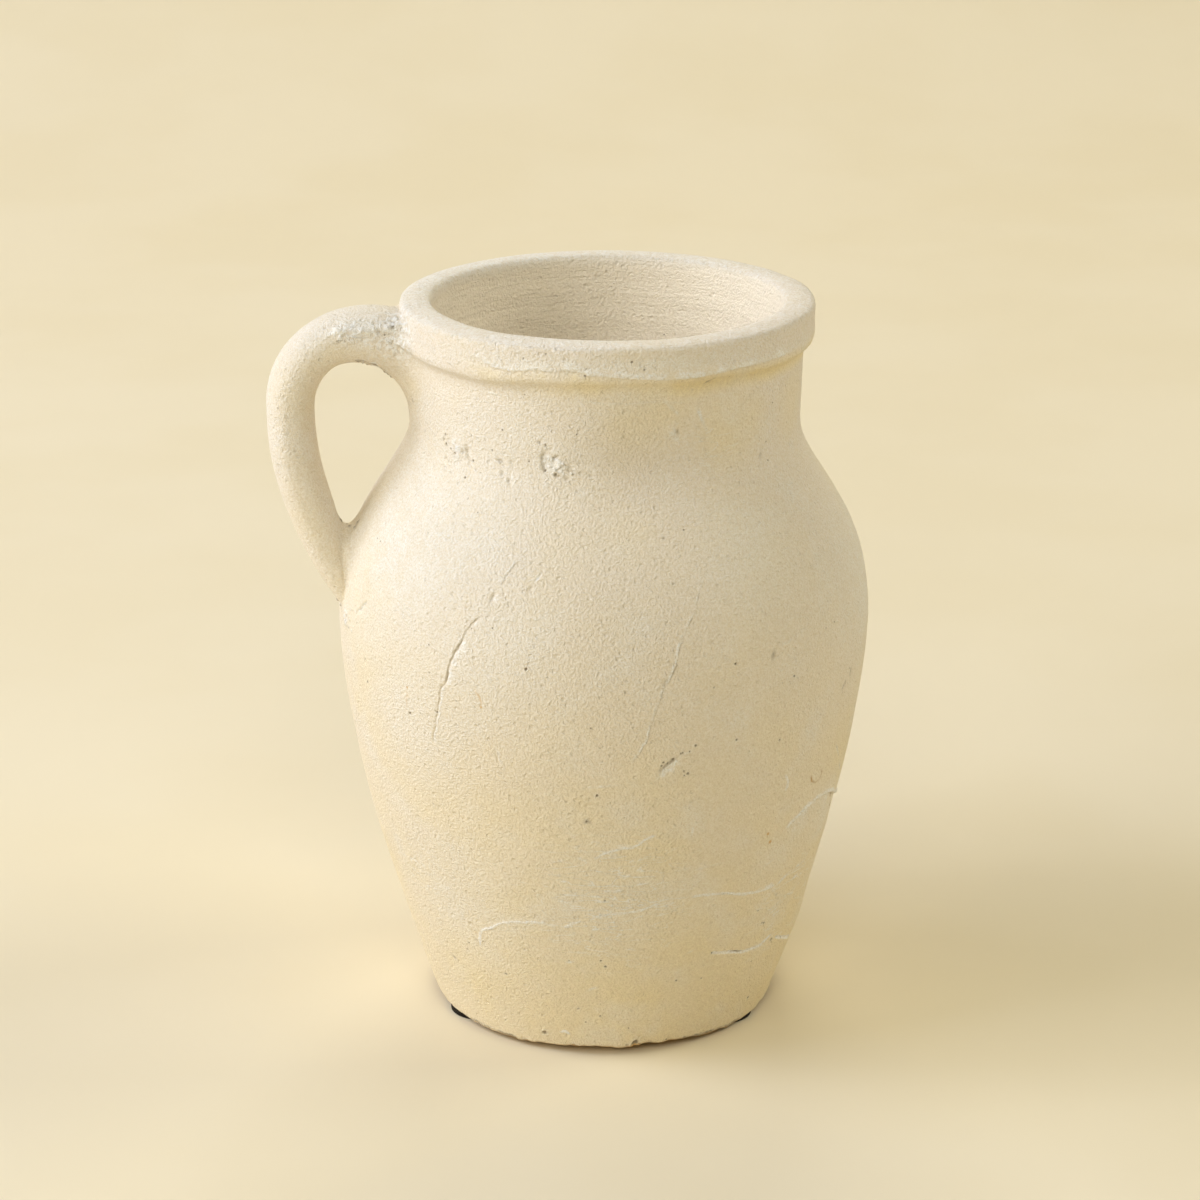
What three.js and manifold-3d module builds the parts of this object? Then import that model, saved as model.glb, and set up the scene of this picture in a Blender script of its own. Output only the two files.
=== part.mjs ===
// One-handled vase of whitewashed terracotta: a thrown pot with a collar rim,
// a pulled strap handle joined on with clay, and three stick-on feet.
// Millimetres, +Z up, handle towards -X.

import * as THREE from 'three';
import { mergeVertices } from 'three/addons/utils/BufferGeometryUtils.js';
import Module from 'manifold-3d';

// Heights above the surface that the vase stands on, and the narrow neck's distance below the mouth
const OVERALL_HEIGHT = 240;
const BELLY_HEIGHT = 135.4;
const NECK_DROP = 37.4;

// Outer radii of the thrown pot
const BASE_RADIUS = 57;
const BELLY_RADIUS = 86.6;
const NECK_RADIUS = 62.6;

// Collar rim
const BAND_HEIGHT = 20;
const BAND_OVERHANG = 3.6;
const LIP_WIDTH = 8.8;
const LIP_ROUNDING = 3;

// Clay thickness
const WALL = 8;
const FLOOR = 10;
const FLOOR_FILLET = 14;
const BASE_EDGE_ROUNDING = 0.9;

// Handle: where its middle line meets neck and belly, the neck's end below the mouth, and how it arches
const UPPER_ROOT_DROP = 23.8;
const LOWER_ROOT_HEIGHT = 147.8;
const ROOT_ANGLE = 53.3;
const TIP_ANGLE = 21.7;
const FINGER_GAP = 30.2;
const ELBOW_DROP = 9.7;
const ROOT_DEPTH = 6;
const TIP_DEPTH = 12;

// Handle: oval section
const STRAP_THICKNESS = 15.2;
const STRAP_WIDTH = 23.4;
const ROOT_THICKNESS = 25.5;
const ROOT_WIDTH = 28;
const TIP_THICKNESS = 2;

// Shares of the strap's length over which it thickens to its root and thins to its tip
const ROOT_SHARE = 0.32;
const TIP_SHARE = 0.4;

// Clay smoothed into the joints, and the seam left between the pieces
const JOINT_REACH = 4.5;
const JOINT_FILLET = 2.4;
const JOINT_EDGE = 0.7;
const SEAM = 0.3;

// Stick-on feet
const FOOT_DIAMETER = 20;
const FOOT_THICKNESS = 2.6;
const FOOT_ROUNDING = 0.8;
const FOOT_SETBACK = 0.4;
const GLUE_THICKNESS = 0.4;
const GLUE_MARGIN = 0.8;
const FOOT_PLACES = ['back', 'front_left', 'front_right'];
const BACK_FOOT_ANGLE = 81;

// Fineness of the facets
const TURNS = 80;
const STRAP_SIDES = 22;
const STRAP_STEPS = 42;
const FOOT_SIDES = 40;

const UNDERSIDE = FOOT_THICKNESS + GLUE_THICKNESS;
const INNER_NECK = NECK_RADIUS - WALL;
const NECK_HEIGHT = OVERALL_HEIGHT - NECK_DROP;
const UPPER_ROOT_HEIGHT = OVERALL_HEIGHT - UPPER_ROOT_DROP;
const ELBOW_HEIGHT = UPPER_ROOT_HEIGHT - ELBOW_DROP;

const clay = new THREE.MeshStandardMaterial({ color: 0xe6dbc4, roughness: 0.95, metalness: 0 });
const jointClay = new THREE.MeshStandardMaterial({ color: 0xdbcfb6, roughness: 0.97, metalness: 0 });
const blackRubber = new THREE.MeshStandardMaterial({ color: 0x17130f, roughness: 0.8, metalness: 0 });
const glue = new THREE.MeshStandardMaterial({ color: 0xcfc7b4, roughness: 0.6, metalness: 0 });

const wasm = await Module();
wasm.setup();

const at = (radius, height) => new THREE.Vector2(radius, height);
const radians = THREE.MathUtils.degToRad;
const heading = (degrees) => at(Math.cos(radians(degrees)), Math.sin(radians(degrees)));

// A closed mesh as a solid, for cutting one piece by another
function solidOf(geometry) {
  const bare = geometry.clone();
  bare.deleteAttribute('normal');
  bare.deleteAttribute('uv');
  const welded = mergeVertices(bare, 1e-4);
  const corners = welded.index.array;
  const faces = [];
  for (let i = 0; i < corners.length; i += 3) {
    const [a, b, c] = [corners[i], corners[i + 1], corners[i + 2]];
    if (a !== b && b !== c && c !== a) faces.push(a, b, c);
  }
  return new wasm.Manifold(new wasm.Mesh({
    numProp: 3,
    vertProperties: new Float32Array(welded.attributes.position.array),
    triVerts: new Uint32Array(faces),
  }));
}

function geometryOf(solid) {
  const mesh = solid.getMesh();
  const geometry = new THREE.BufferGeometry();
  geometry.setAttribute('position', new THREE.BufferAttribute(mesh.vertProperties, 3));
  geometry.setIndex(new THREE.BufferAttribute(mesh.triVerts, 1));
  geometry.computeVertexNormals();
  return geometry;
}

function revolve(outline, sides = TURNS) {
  return new THREE.LatheGeometry(outline, sides).rotateX(Math.PI / 2);
}

// Outside of the thrown wall, from the base edge over the belly to the neck
function wallCurves() {
  const rise = BELLY_HEIGHT - UNDERSIDE;
  const drop = NECK_HEIGHT - BELLY_HEIGHT;
  const belly = at(BELLY_RADIUS, BELLY_HEIGHT);
  const lower = new THREE.CubicBezierCurve(
    at(BASE_RADIUS, UNDERSIDE),
    at(BASE_RADIUS + 0.284 * (BELLY_RADIUS - BASE_RADIUS), UNDERSIDE + 0.188 * rise),
    at(BELLY_RADIUS, BELLY_HEIGHT - 0.323 * rise),
    belly,
  );
  const shoulder = new THREE.CubicBezierCurve(
    belly,
    at(BELLY_RADIUS, BELLY_HEIGHT + 0.573 * drop),
    at(NECK_RADIUS, NECK_HEIGHT - 0.295 * drop),
    at(NECK_RADIUS, NECK_HEIGHT),
  );
  return [lower, shoulder];
}

// Neck, band and lip, over the top to the inner edge of the mouth
function rimCurves() {
  const bulge = NECK_RADIUS + BAND_OVERHANG;
  const outerLip = bulge - 0.6 * LIP_ROUNDING;
  const innerLip = outerLip - LIP_WIDTH + 0.5 * LIP_ROUNDING;
  const mouth = outerLip - LIP_WIDTH;
  const bandFoot = OVERALL_HEIGHT - BAND_HEIGHT;
  const outerTop = OVERALL_HEIGHT - 0.4 * LIP_ROUNDING;
  const innerTop = OVERALL_HEIGHT - 0.2 * LIP_ROUNDING;
  const neckTop = at(NECK_RADIUS + 0.1 * BAND_OVERHANG, bandFoot);
  const bandFace = at(bulge, bandFoot + 0.62 * BAND_HEIGHT);
  const band = new THREE.CubicBezierCurve(
    neckTop,
    at(NECK_RADIUS + 0.15 * BAND_OVERHANG, bandFoot + 0.28 * BAND_HEIGHT),
    at(bulge, bandFoot + 0.35 * BAND_HEIGHT),
    bandFace,
  );
  const corner = new THREE.QuadraticBezierCurve(
    at(bulge, outerTop - LIP_ROUNDING),
    at(bulge, outerTop),
    at(outerLip, outerTop),
  );
  const crown = new THREE.QuadraticBezierCurve(
    at(outerLip, outerTop),
    at((outerLip + innerLip) / 2, OVERALL_HEIGHT + 0.3 * LIP_ROUNDING),
    at(innerLip, innerTop),
  );
  const mouthEdge = new THREE.QuadraticBezierCurve(
    at(innerLip, innerTop),
    at(mouth, innerTop),
    at(mouth, innerTop - LIP_ROUNDING),
  );
  return { band, corner, crown, mouthEdge };
}

const [lowerWall, shoulderWall] = wallCurves();
const rim = rimCurves();
const outerWall = [
  lowerWall.getPointAt(BASE_EDGE_ROUNDING / lowerWall.getLength()),
  ...lowerWall.getPoints(10).slice(1),
  ...shoulderWall.getPoints(10).slice(1),
  ...rim.band.getPoints(5),
  ...rim.corner.getPoints(3),
];

// Moves an outline sideways, outwards for one that runs up the outside
function offset(points, distance) {
  return points.map((point, i) => {
    const before = points[Math.max(i - 1, 0)];
    const after = points[Math.min(i + 1, points.length - 1)];
    const along = after.clone().sub(before).normalize();
    return at(point.x + along.y * distance, point.y - along.x * distance);
  });
}

// The pot as it was thrown: floor, wall of even thickness, neck and rolled rim
function thrownPot() {
  const floorTop = UNDERSIDE + FLOOR;
  const inside = [...lowerWall.getPoints(7), ...shoulderWall.getPoints(7).slice(1)];
  const innerWall = offset(inside, -WALL).filter((point) => point.y > floorTop + FLOOR_FILLET);
  const wallFoot = innerWall[0];
  const fillet = new THREE.QuadraticBezierCurve(
    wallFoot,
    at(wallFoot.x - 0.4 * FLOOR_FILLET, floorTop),
    at(wallFoot.x - 1.3 * FLOOR_FILLET, floorTop),
  );
  return revolve([
    at(0, UNDERSIDE),
    at(BASE_RADIUS - BASE_EDGE_ROUNDING, UNDERSIDE),
    ...outerWall,
    ...rim.crown.getPoints(3).slice(1),
    ...rim.mouthEdge.getPoints(3).slice(1),
    ...innerWall.reverse(),
    ...fillet.getPoints(3).slice(1),
    at(0, floorTop),
  ]);
}

// The pot's outside as one solid, grown by a clearance
function potEnvelope(clearance) {
  const skin = offset(outerWall, clearance);
  const bottom = UNDERSIDE - clearance;
  const top = OVERALL_HEIGHT + clearance;
  const closed = [at(0, bottom), at(skin[0].x, bottom), ...skin, at(skin.at(-1).x, top), at(0, top)];
  return solidOf(revolve(closed));
}

// Outer radius of the pot at a height
function potRadius(height) {
  const above = outerWall.findIndex((point) => point.y > height);
  if (above < 1) return above < 0 ? outerWall.at(-1).x : BASE_RADIUS;
  const [low, high] = [outerWall[above - 1], outerWall[above]];
  return THREE.MathUtils.mapLinear(height, low.y, high.y, low.x, high.x);
}

// Middle line of the strap in its own plane, from inside the neck wall to inside the belly wall
function strapLine() {
  const rootDirection = heading(ROOT_ANGLE);
  const tipDirection = heading(-90 - TIP_ANGLE);
  const reach = NECK_RADIUS + FINGER_GAP + STRAP_THICKNESS / 2;
  const upper = at(INNER_NECK, UPPER_ROOT_HEIGHT);
  const elbow = at(reach, ELBOW_HEIGHT);
  const lower = at(potRadius(LOWER_ROOT_HEIGHT), LOWER_ROOT_HEIGHT);
  const out = reach - INNER_NECK;
  const fall = ELBOW_HEIGHT - LOWER_ROOT_HEIGHT;
  const line = new THREE.CurvePath();
  line.add(new THREE.LineCurve(upper.clone().addScaledVector(rootDirection, -ROOT_DEPTH), upper));
  line.add(new THREE.CubicBezierCurve(
    upper,
    upper.clone().addScaledVector(rootDirection, 0.654 * out),
    elbow.clone().add(at(0, 0.498 * out)),
    elbow,
  ));
  line.add(new THREE.CubicBezierCurve(
    elbow,
    elbow.clone().add(at(0, -0.251 * fall)),
    lower.clone().addScaledVector(tipDirection, -0.595 * fall),
    lower,
  ));
  line.add(new THREE.LineCurve(lower, lower.clone().addScaledVector(tipDirection, TIP_DEPTH)));
  return line;
}

// Thickness and width of the strap at a share of its length
function strapSize(share) {
  const root = Math.max(0, 1 - share / ROOT_SHARE) ** 1.2;
  const tip = Math.max(0, 1 - (1 - share) / TIP_SHARE) ** 3;
  const { lerp } = THREE.MathUtils;
  const thickness = lerp(lerp(STRAP_THICKNESS, ROOT_THICKNESS, root), TIP_THICKNESS, tip);
  return { thickness, width: lerp(STRAP_WIDTH, ROOT_WIDTH, root) };
}

// Oval rings along the strap, each point pushed out of it by grow(point)
function strapRings(grow) {
  const line = strapLine();
  const rings = [];
  for (let step = 0; step <= STRAP_STEPS; step += 1) {
    const share = step / STRAP_STEPS;
    const middle = line.getPointAt(share);
    const along = line.getTangentAt(share);
    const size = strapSize(share);
    const ring = [];
    for (let side = 0; side < STRAP_SIDES; side += 1) {
      const angle = (side / STRAP_SIDES) * 2 * Math.PI;
      const place = (extra) => {
        const up = Math.cos(angle) * (size.thickness / 2 + extra);
        const across = Math.sin(angle) * (size.width / 2 + extra);
        return new THREE.Vector3(-middle.x + up * along.y, across, middle.y + up * along.x);
      };
      ring.push(place(grow(place(0))));
    }
    rings.push(ring);
  }
  return rings;
}

// Skins a row of rings and closes both ends
function loft(rings) {
  const sides = rings[0].length;
  const last = rings.length - 1;
  const points = rings.flat();
  const faces = [];
  for (let row = 0; row < last; row += 1) {
    for (let side = 0; side < sides; side += 1) {
      const [a, b] = [row * sides + side, row * sides + ((side + 1) % sides)];
      faces.push(a, b, b + sides, a, b + sides, a + sides);
    }
  }
  for (let side = 1; side < sides - 1; side += 1) {
    faces.push(0, side + 1, side, last * sides, last * sides + side, last * sides + side + 1);
  }
  const geometry = new THREE.BufferGeometry().setFromPoints(points);
  geometry.setIndex(faces);
  return geometry;
}

// Thickness of the joint clay on the strap, most against the pot and least at its far edge
function jointGrowth(point) {
  const clear = Math.hypot(point.x, point.y) - potRadius(point.z);
  const share = THREE.MathUtils.clamp(1 - clear / JOINT_REACH, 0, 1);
  return JOINT_EDGE + (JOINT_FILLET - JOINT_EDGE) * share ** 2;
}

function strapHandle() {
  return solidOf(loft(strapRings(() => 0))).subtract(potEnvelope(SEAM));
}

// Fillets of clay round both roots, as two separate bodies
function jointCollars() {
  const strap = solidOf(loft(strapRings(() => SEAM)));
  const collars = solidOf(loft(strapRings(jointGrowth)))
    .intersect(potEnvelope(JOINT_REACH))
    .subtract(strap)
    .subtract(potEnvelope(SEAM));
  const pieces = collars.decompose().filter((piece) => piece.volume() > 1);
  return pieces.sort((a, b) => b.boundingBox().max[2] - a.boundingBox().max[2]);
}

function foot() {
  const radius = FOOT_DIAMETER / 2;
  const edge = new THREE.QuadraticBezierCurve(
    at(radius - FOOT_ROUNDING, 0),
    at(radius, 0),
    at(radius, FOOT_ROUNDING),
  );
  const top = [at(radius, FOOT_THICKNESS), at(0, FOOT_THICKNESS)];
  return revolve([at(0, 0), ...edge.getPoints(3), ...top], FOOT_SIDES);
}

function glueDisc() {
  const radius = FOOT_DIAMETER / 2 - GLUE_MARGIN;
  const top = [at(radius, GLUE_THICKNESS), at(0, GLUE_THICKNESS)];
  return revolve([at(0, 0), at(radius, 0), ...top], FOOT_SIDES);
}

function add(group, name, geometry, material) {
  const mesh = new THREE.Mesh(geometry, material);
  mesh.name = name;
  group.add(mesh);
  return mesh;
}

const vase = new THREE.Group();
add(vase, 'vase_body', thrownPot(), clay);
add(vase, 'handle', geometryOf(strapHandle()), clay);
const [upperCollar, lowerCollar] = jointCollars();
add(vase, 'upper_joint_clay', geometryOf(upperCollar), jointClay);
add(vase, 'lower_joint_clay', geometryOf(lowerCollar), jointClay);

const footCircle = BASE_RADIUS - FOOT_SETBACK - FOOT_DIAMETER / 2;
FOOT_PLACES.forEach((place, i) => {
  const { x, y } = heading(BACK_FOOT_ANGLE + i * 360 / FOOT_PLACES.length).multiplyScalar(footCircle);
  add(vase, `foot_${place}`, foot(), blackRubber).position.set(x, y, 0);
  add(vase, `foot_glue_${place}`, glueDisc(), glue).position.set(x, y, FOOT_THICKNESS);
});

// The origin lies under the middle of the whole vase, handle included
const reachBox = new THREE.Box3().setFromObject(vase);
vase.position.x = -(reachBox.min.x + reachBox.max.x) / 2;

export default vase;
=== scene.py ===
# One-handled vase of whitewashed terracotta: a thrown pot with a collar rim, a pulled strap handle
# whose joints are smoothed over with clay, and three rubber feet stuck under the base.
# Metres, +Z up, handle towards -X, on a pale yellow sweep of paper.
import math
import random

import bmesh
import bpy
import numpy as np
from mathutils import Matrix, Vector, noise
from mathutils.kdtree import KDTree


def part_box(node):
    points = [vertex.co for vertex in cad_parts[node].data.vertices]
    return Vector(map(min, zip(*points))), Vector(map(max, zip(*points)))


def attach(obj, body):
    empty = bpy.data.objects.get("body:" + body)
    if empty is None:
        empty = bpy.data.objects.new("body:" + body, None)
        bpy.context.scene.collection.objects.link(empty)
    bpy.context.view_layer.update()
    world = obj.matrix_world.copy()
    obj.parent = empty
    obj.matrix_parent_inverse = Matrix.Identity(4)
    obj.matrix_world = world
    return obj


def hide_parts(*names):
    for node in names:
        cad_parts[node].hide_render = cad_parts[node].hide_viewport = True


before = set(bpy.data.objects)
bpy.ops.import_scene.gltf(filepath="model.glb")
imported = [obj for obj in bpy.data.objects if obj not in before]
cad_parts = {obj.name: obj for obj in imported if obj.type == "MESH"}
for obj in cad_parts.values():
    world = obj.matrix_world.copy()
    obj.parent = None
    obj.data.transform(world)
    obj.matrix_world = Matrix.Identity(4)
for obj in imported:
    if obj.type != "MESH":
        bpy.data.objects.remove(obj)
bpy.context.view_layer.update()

MM = 0.001

# The pot's place and main sizes, from the frame
POT_LOW, POT_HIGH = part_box("vase_body")
AXIS_X = (POT_LOW.x + POT_HIGH.x) / 2
BASE_Z = POT_LOW.z
MOUTH_Z = POT_HIGH.z
BELLY_RADIUS = (POT_HIGH.x - POT_LOW.x) / 2

# Outline of the thrown pot
BASE_RADIUS = 57 * MM
BELLY_Z = 135.4 * MM
NECK_RADIUS = 62.6 * MM
NECK_Z = MOUTH_Z - 37.4 * MM
BAND_HEIGHT = 20 * MM
BAND_OVERHANG = 3.6 * MM
LIP_WIDTH = 8.8 * MM
LIP_ROUNDING = 1.7 * MM
WALL = 8 * MM
FLOOR = 10 * MM
FLOOR_FILLET = 14 * MM
BASE_EDGE = 1.2 * MM

# Row spacing along the outline, and columns round it
OUTER_STEP = 2.3 * MM
RIM_STEP = 1.1 * MM
THROAT_STEP = 2.4 * MM
THROAT_POINTS = 330
INNER_STEP = 6.0 * MM
FLOOR_STEP = 12.0 * MM
POT_COLUMNS = 220

# Handle: its middle line in the plane through the axis, as in the clay it is pulled from
FINGER_GAP = 30.2 * MM
UPPER_ROOT_Z = MOUTH_Z - 23.8 * MM
ELBOW_Z = UPPER_ROOT_Z - 9.7 * MM
LOWER_ROOT_Z = 147.8 * MM
ROOT_ANGLE = math.radians(53.3)
TIP_ANGLE = math.radians(21.7)
ROOT_DEPTH = 6 * MM
TIP_DEPTH = 12 * MM
STRAP_THICKNESS = 15.2 * MM
STRAP_WIDTH = 23.4 * MM
ROOT_THICKNESS = 25.5 * MM
ROOT_WIDTH = 28 * MM
TIP_THICKNESS = 2 * MM
ROOT_SHARE = 0.32
TIP_SHARE = 0.4
STRAP_SQUARENESS = 2.25
STRAP_COLUMNS = 120
STRAP_ROWS = 260
STRAP_BURIED = 1.5 * MM
STRAP_STEP = 0.25 * MM

# Clay smoothed into the joints: how far it reaches from the crease at the sides and in the crotch, how
# that grows round the section, and how full its hollow face is on the pot's side and the strap's
UPPER_REACH = (3.6 * MM, 9.5 * MM)
LOWER_REACH = (1.0 * MM, 15.0 * MM)
UPPER_CROTCH = (0.5, 0.75)
LOWER_CROTCH = (-0.25, 1.25)
UPPER_BEND = (0.45, 0.7)
LOWER_BEND = (0.6, 0.6)
JOINT_TOP = MOUTH_Z - 2.6 * MM
JOINT_ROWS = 14
JOINT_COLUMNS = 150
# Its borders run on a little under both skins, and its back lies deep in the crease
JOINT_DIP = 0.22 * MM
JOINT_RUNOUT = 1.1 * MM
JOINT_DEEP = 2.5 * MM

# Camera of the photograph
LENS = 100
SENSOR = 36
VIEW_TURN = math.radians(7.0)
VIEW_RISE = math.radians(19.04)
VIEW_DISTANCE = 1095.2 * MM
VIEW_HEIGHT = 137.07 * MM
VIEW_SHIFT = -3.44 / 1200


def smooth(share):
    """Soft step from 0 to 1."""
    share = np.clip(share, 0, 1)
    return share * share * (3 - 2 * share)


def bezier(corners, count=600):
    """Points along a Bezier curve of any degree."""
    shares = np.linspace(0, 1, count + 1)[:, None]
    rows = [np.asarray(corner, float) for corner in corners]
    while len(rows) > 1:
        rows = [(1 - shares) * a + shares * b for a, b in zip(rows, rows[1:])]
    return rows[0]


def even(points, step):
    """The same line with its points about one step apart."""
    points = np.asarray(points, float)
    lengths = np.linalg.norm(np.diff(points, axis=0), axis=1)
    along = np.concatenate([[0], np.cumsum(lengths)])
    count = max(2, round(along[-1] / step))
    stops = np.linspace(0, along[-1], count + 1)
    return np.stack([np.interp(stops, along, points[:, i]) for i in range(points.shape[1])], axis=1)


def wall_line():
    """Outside of the wall from the base edge to the neck, as (radius, height)."""
    rise = BELLY_Z - BASE_Z
    drop = NECK_Z - BELLY_Z
    belly = (BELLY_RADIUS, BELLY_Z)
    lower = bezier([
        (BASE_RADIUS, BASE_Z),
        (BASE_RADIUS + 0.284 * (BELLY_RADIUS - BASE_RADIUS), BASE_Z + 0.188 * rise),
        (BELLY_RADIUS, BELLY_Z - 0.323 * rise),
        belly,
    ])
    shoulder = bezier([
        belly,
        (BELLY_RADIUS, BELLY_Z + 0.573 * drop),
        (NECK_RADIUS, NECK_Z - 0.295 * drop),
        (NECK_RADIUS, NECK_Z),
    ])
    return np.vstack([lower, shoulder[1:]])


def rim_line():
    """Neck, band and lip, over the top to the inner edge of the mouth."""
    bulge = NECK_RADIUS + BAND_OVERHANG
    outer_lip = bulge - 0.6 * LIP_ROUNDING
    inner_lip = outer_lip - LIP_WIDTH + 0.5 * LIP_ROUNDING
    mouth = outer_lip - LIP_WIDTH
    band_foot = MOUTH_Z - BAND_HEIGHT
    outer_top = MOUTH_Z - 0.4 * LIP_ROUNDING
    inner_top = MOUTH_Z - 0.2 * LIP_ROUNDING
    band = bezier([
        (NECK_RADIUS + 0.1 * BAND_OVERHANG, band_foot),
        (NECK_RADIUS + 0.1 * BAND_OVERHANG, band_foot + 0.54 * BAND_HEIGHT),
        (bulge + 0.3 * BAND_OVERHANG, band_foot + 0.17 * BAND_HEIGHT),
        (bulge, band_foot + 0.62 * BAND_HEIGHT),
    ])
    corner = bezier([(bulge, outer_top - LIP_ROUNDING), (bulge, outer_top), (outer_lip, outer_top)])
    crown_top = ((outer_lip + inner_lip) / 2, MOUTH_Z + 0.3 * LIP_ROUNDING)
    crown = bezier([(outer_lip, outer_top), crown_top, (inner_lip, inner_top)])
    mouth_edge = bezier([(inner_lip, inner_top), (mouth, inner_top), (mouth, inner_top - LIP_ROUNDING)])
    return np.vstack([band, corner, crown[1:], mouth_edge[1:]])


WALL_LINE = wall_line()
RIM_LINE = rim_line()
OUTSIDE_LINE = np.vstack([WALL_LINE, RIM_LINE[RIM_LINE[:, 1] < MOUTH_Z - 1.3 * MM]])
OUTSIDE_LINE = OUTSIDE_LINE[np.concatenate([[True], np.diff(OUTSIDE_LINE[:, 1]) > 0])]


def pot_radius(height):
    """Outer radius of the pot at a height."""
    return np.interp(height, OUTSIDE_LINE[:, 1], OUTSIDE_LINE[:, 0])


def on_pot(turn, height):
    """Point on the pot's outside: degrees from the front, growing towards +X, and millimetres up."""
    angle = math.radians(turn)
    radius = float(pot_radius(height * MM))
    return Vector((AXIS_X + radius * math.sin(angle), -radius * math.cos(angle), height * MM))


def inner_line():
    """Inside of the wall from the mouth down to the middle of the floor."""
    ahead = np.gradient(WALL_LINE, axis=0)
    ahead /= np.linalg.norm(ahead, axis=1)[:, None]
    inside = WALL_LINE - WALL * np.stack([ahead[:, 1], -ahead[:, 0]], axis=1)
    floor_top = BASE_Z + FLOOR
    inside = inside[inside[:, 1] > floor_top + FLOOR_FILLET][::-1]
    foot = inside[-1]
    corner, end = (foot[0] - share * FLOOR_FILLET for share in (0.4, 1.3))
    fillet = bezier([foot, (corner, floor_top), (end, floor_top)])
    return inside, fillet, np.array([fillet[-1], (0, floor_top)])


def pot_outline():
    """Closed section of the pot from the middle of its underside round to the middle of its floor."""
    bevel_top = np.searchsorted(WALL_LINE[1:, 1], BASE_Z + BASE_EDGE)
    bevel = WALL_LINE[0] + (WALL_LINE[1:] - WALL_LINE[0])[bevel_top]
    underside = np.array([(0, BASE_Z), (BASE_RADIUS - BASE_EDGE, BASE_Z)])
    edge = bezier([underside[-1], WALL_LINE[0], bevel])
    wall = WALL_LINE[WALL_LINE[:, 1] > bevel[1]]
    inside, fillet, floor = inner_line()
    parts = [
        (underside, FLOOR_STEP),
        (edge, 0.4 * BASE_EDGE),
        (np.vstack([edge[-1:], wall]), OUTER_STEP),
        (np.vstack([wall[-1:], RIM_LINE]), RIM_STEP),
        (np.vstack([RIM_LINE[-1:], inside[:THROAT_POINTS]]), THROAT_STEP),
        (inside[THROAT_POINTS - 1:], INNER_STEP),
        (fillet, INNER_STEP),
        (floor, FLOOR_STEP),
    ]
    rows = [even(points, step)[1:] for points, step in parts]
    return np.vstack([underside[:1], *rows])


def spin_pot():
    """The pot's section turned once round the axis."""
    shell = bmesh.new()
    line = [shell.verts.new((AXIS_X + radius, 0, height)) for radius, height in pot_outline()]
    edges = [shell.edges.new(pair) for pair in zip(line, line[1:])]
    bmesh.ops.spin(
        shell, geom=line + edges, cent=(AXIS_X, 0, 0), axis=(0, 0, 1), dvec=(0, 0, 0),
        angle=2 * math.pi, steps=POT_COLUMNS, use_merge=True, use_duplicate=False,
    )
    bmesh.ops.remove_doubles(shell, verts=shell.verts, dist=0.001 * MM)
    bmesh.ops.recalc_face_normals(shell, faces=shell.faces)
    return shell


def strap_line():
    """Middle line of the strap as (radius, height), with its directions, at even shares of its length."""
    ahead_up = np.array([math.cos(ROOT_ANGLE), math.sin(ROOT_ANGLE)])
    ahead_down = np.array([-math.sin(TIP_ANGLE), -math.cos(TIP_ANGLE)])
    reach = NECK_RADIUS + FINGER_GAP + STRAP_THICKNESS / 2
    upper = np.array([NECK_RADIUS - WALL, UPPER_ROOT_Z])
    elbow = np.array([reach, ELBOW_Z])
    lower = np.array([float(pot_radius(LOWER_ROOT_Z)), LOWER_ROOT_Z])
    out = reach - upper[0]
    fall = ELBOW_Z - LOWER_ROOT_Z
    arch = bezier([upper, upper + 0.654 * out * ahead_up, elbow + (0, 0.498 * out), elbow])
    tail = bezier([elbow, elbow - (0, 0.251 * fall), lower - 0.595 * fall * ahead_down, lower])
    line = np.vstack([[upper - ROOT_DEPTH * ahead_up], arch, tail[1:], [lower + TIP_DEPTH * ahead_down]])
    line = even(line, STRAP_STEP)
    ahead = np.gradient(line, axis=0)
    return line, ahead / np.linalg.norm(ahead, axis=1)[:, None]


STRAP_LINE, STRAP_AHEAD = strap_line()


def strap_skin(angle, share):
    """Points on the strap's skin: angle round the section from its outer face, and share of its length."""
    place = share * (len(STRAP_LINE) - 1)
    order = np.arange(len(STRAP_LINE))
    radius, height = (np.interp(place, order, STRAP_LINE[:, i]) for i in (0, 1))
    along_r, along_z = (np.interp(place, order, STRAP_AHEAD[:, i]) for i in (0, 1))
    root = np.maximum(0, 1 - share / ROOT_SHARE) ** 1.2
    tip = np.maximum(0, 1 - (1 - share) / TIP_SHARE) ** 3
    thickness = STRAP_THICKNESS + (ROOT_THICKNESS - STRAP_THICKNESS) * root
    thickness += (TIP_THICKNESS - thickness) * tip
    width = STRAP_WIDTH + (ROOT_WIDTH - STRAP_WIDTH) * root
    power = 2 / STRAP_SQUARENESS
    up = np.sign(np.cos(angle)) * np.abs(np.cos(angle)) ** power * thickness / 2
    across = np.sign(np.sin(angle)) * np.abs(np.sin(angle)) ** power * width / 2
    return np.stack([AXIS_X - radius + up * along_z, across, height + up * along_r], axis=-1)


def above_pot(points):
    """How far points stand clear of the pot's outside, level."""
    return np.hypot(points[..., 0] - AXIS_X, points[..., 1]) - pot_radius(points[..., 2])


def strap_crossings(angles, clearance):
    """Shares of the strap's length at which its skin comes out of the pot and goes back into it."""
    shares = np.linspace(0, 1, 900)
    clear = above_pot(strap_skin(angles[:, None], shares[None, :])) - clearance
    free = clear > 0
    first = free.argmax(axis=1)
    last = len(shares) - 1 - free[:, ::-1].argmax(axis=1)
    rows = np.arange(len(angles))

    def between(low, high):
        share = clear[rows, low] / (clear[rows, low] - clear[rows, high])
        return shares[low] + share * (shares[high] - shares[low])

    return between(first - 1, first), between(last, np.minimum(last + 1, len(shares) - 1))


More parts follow.
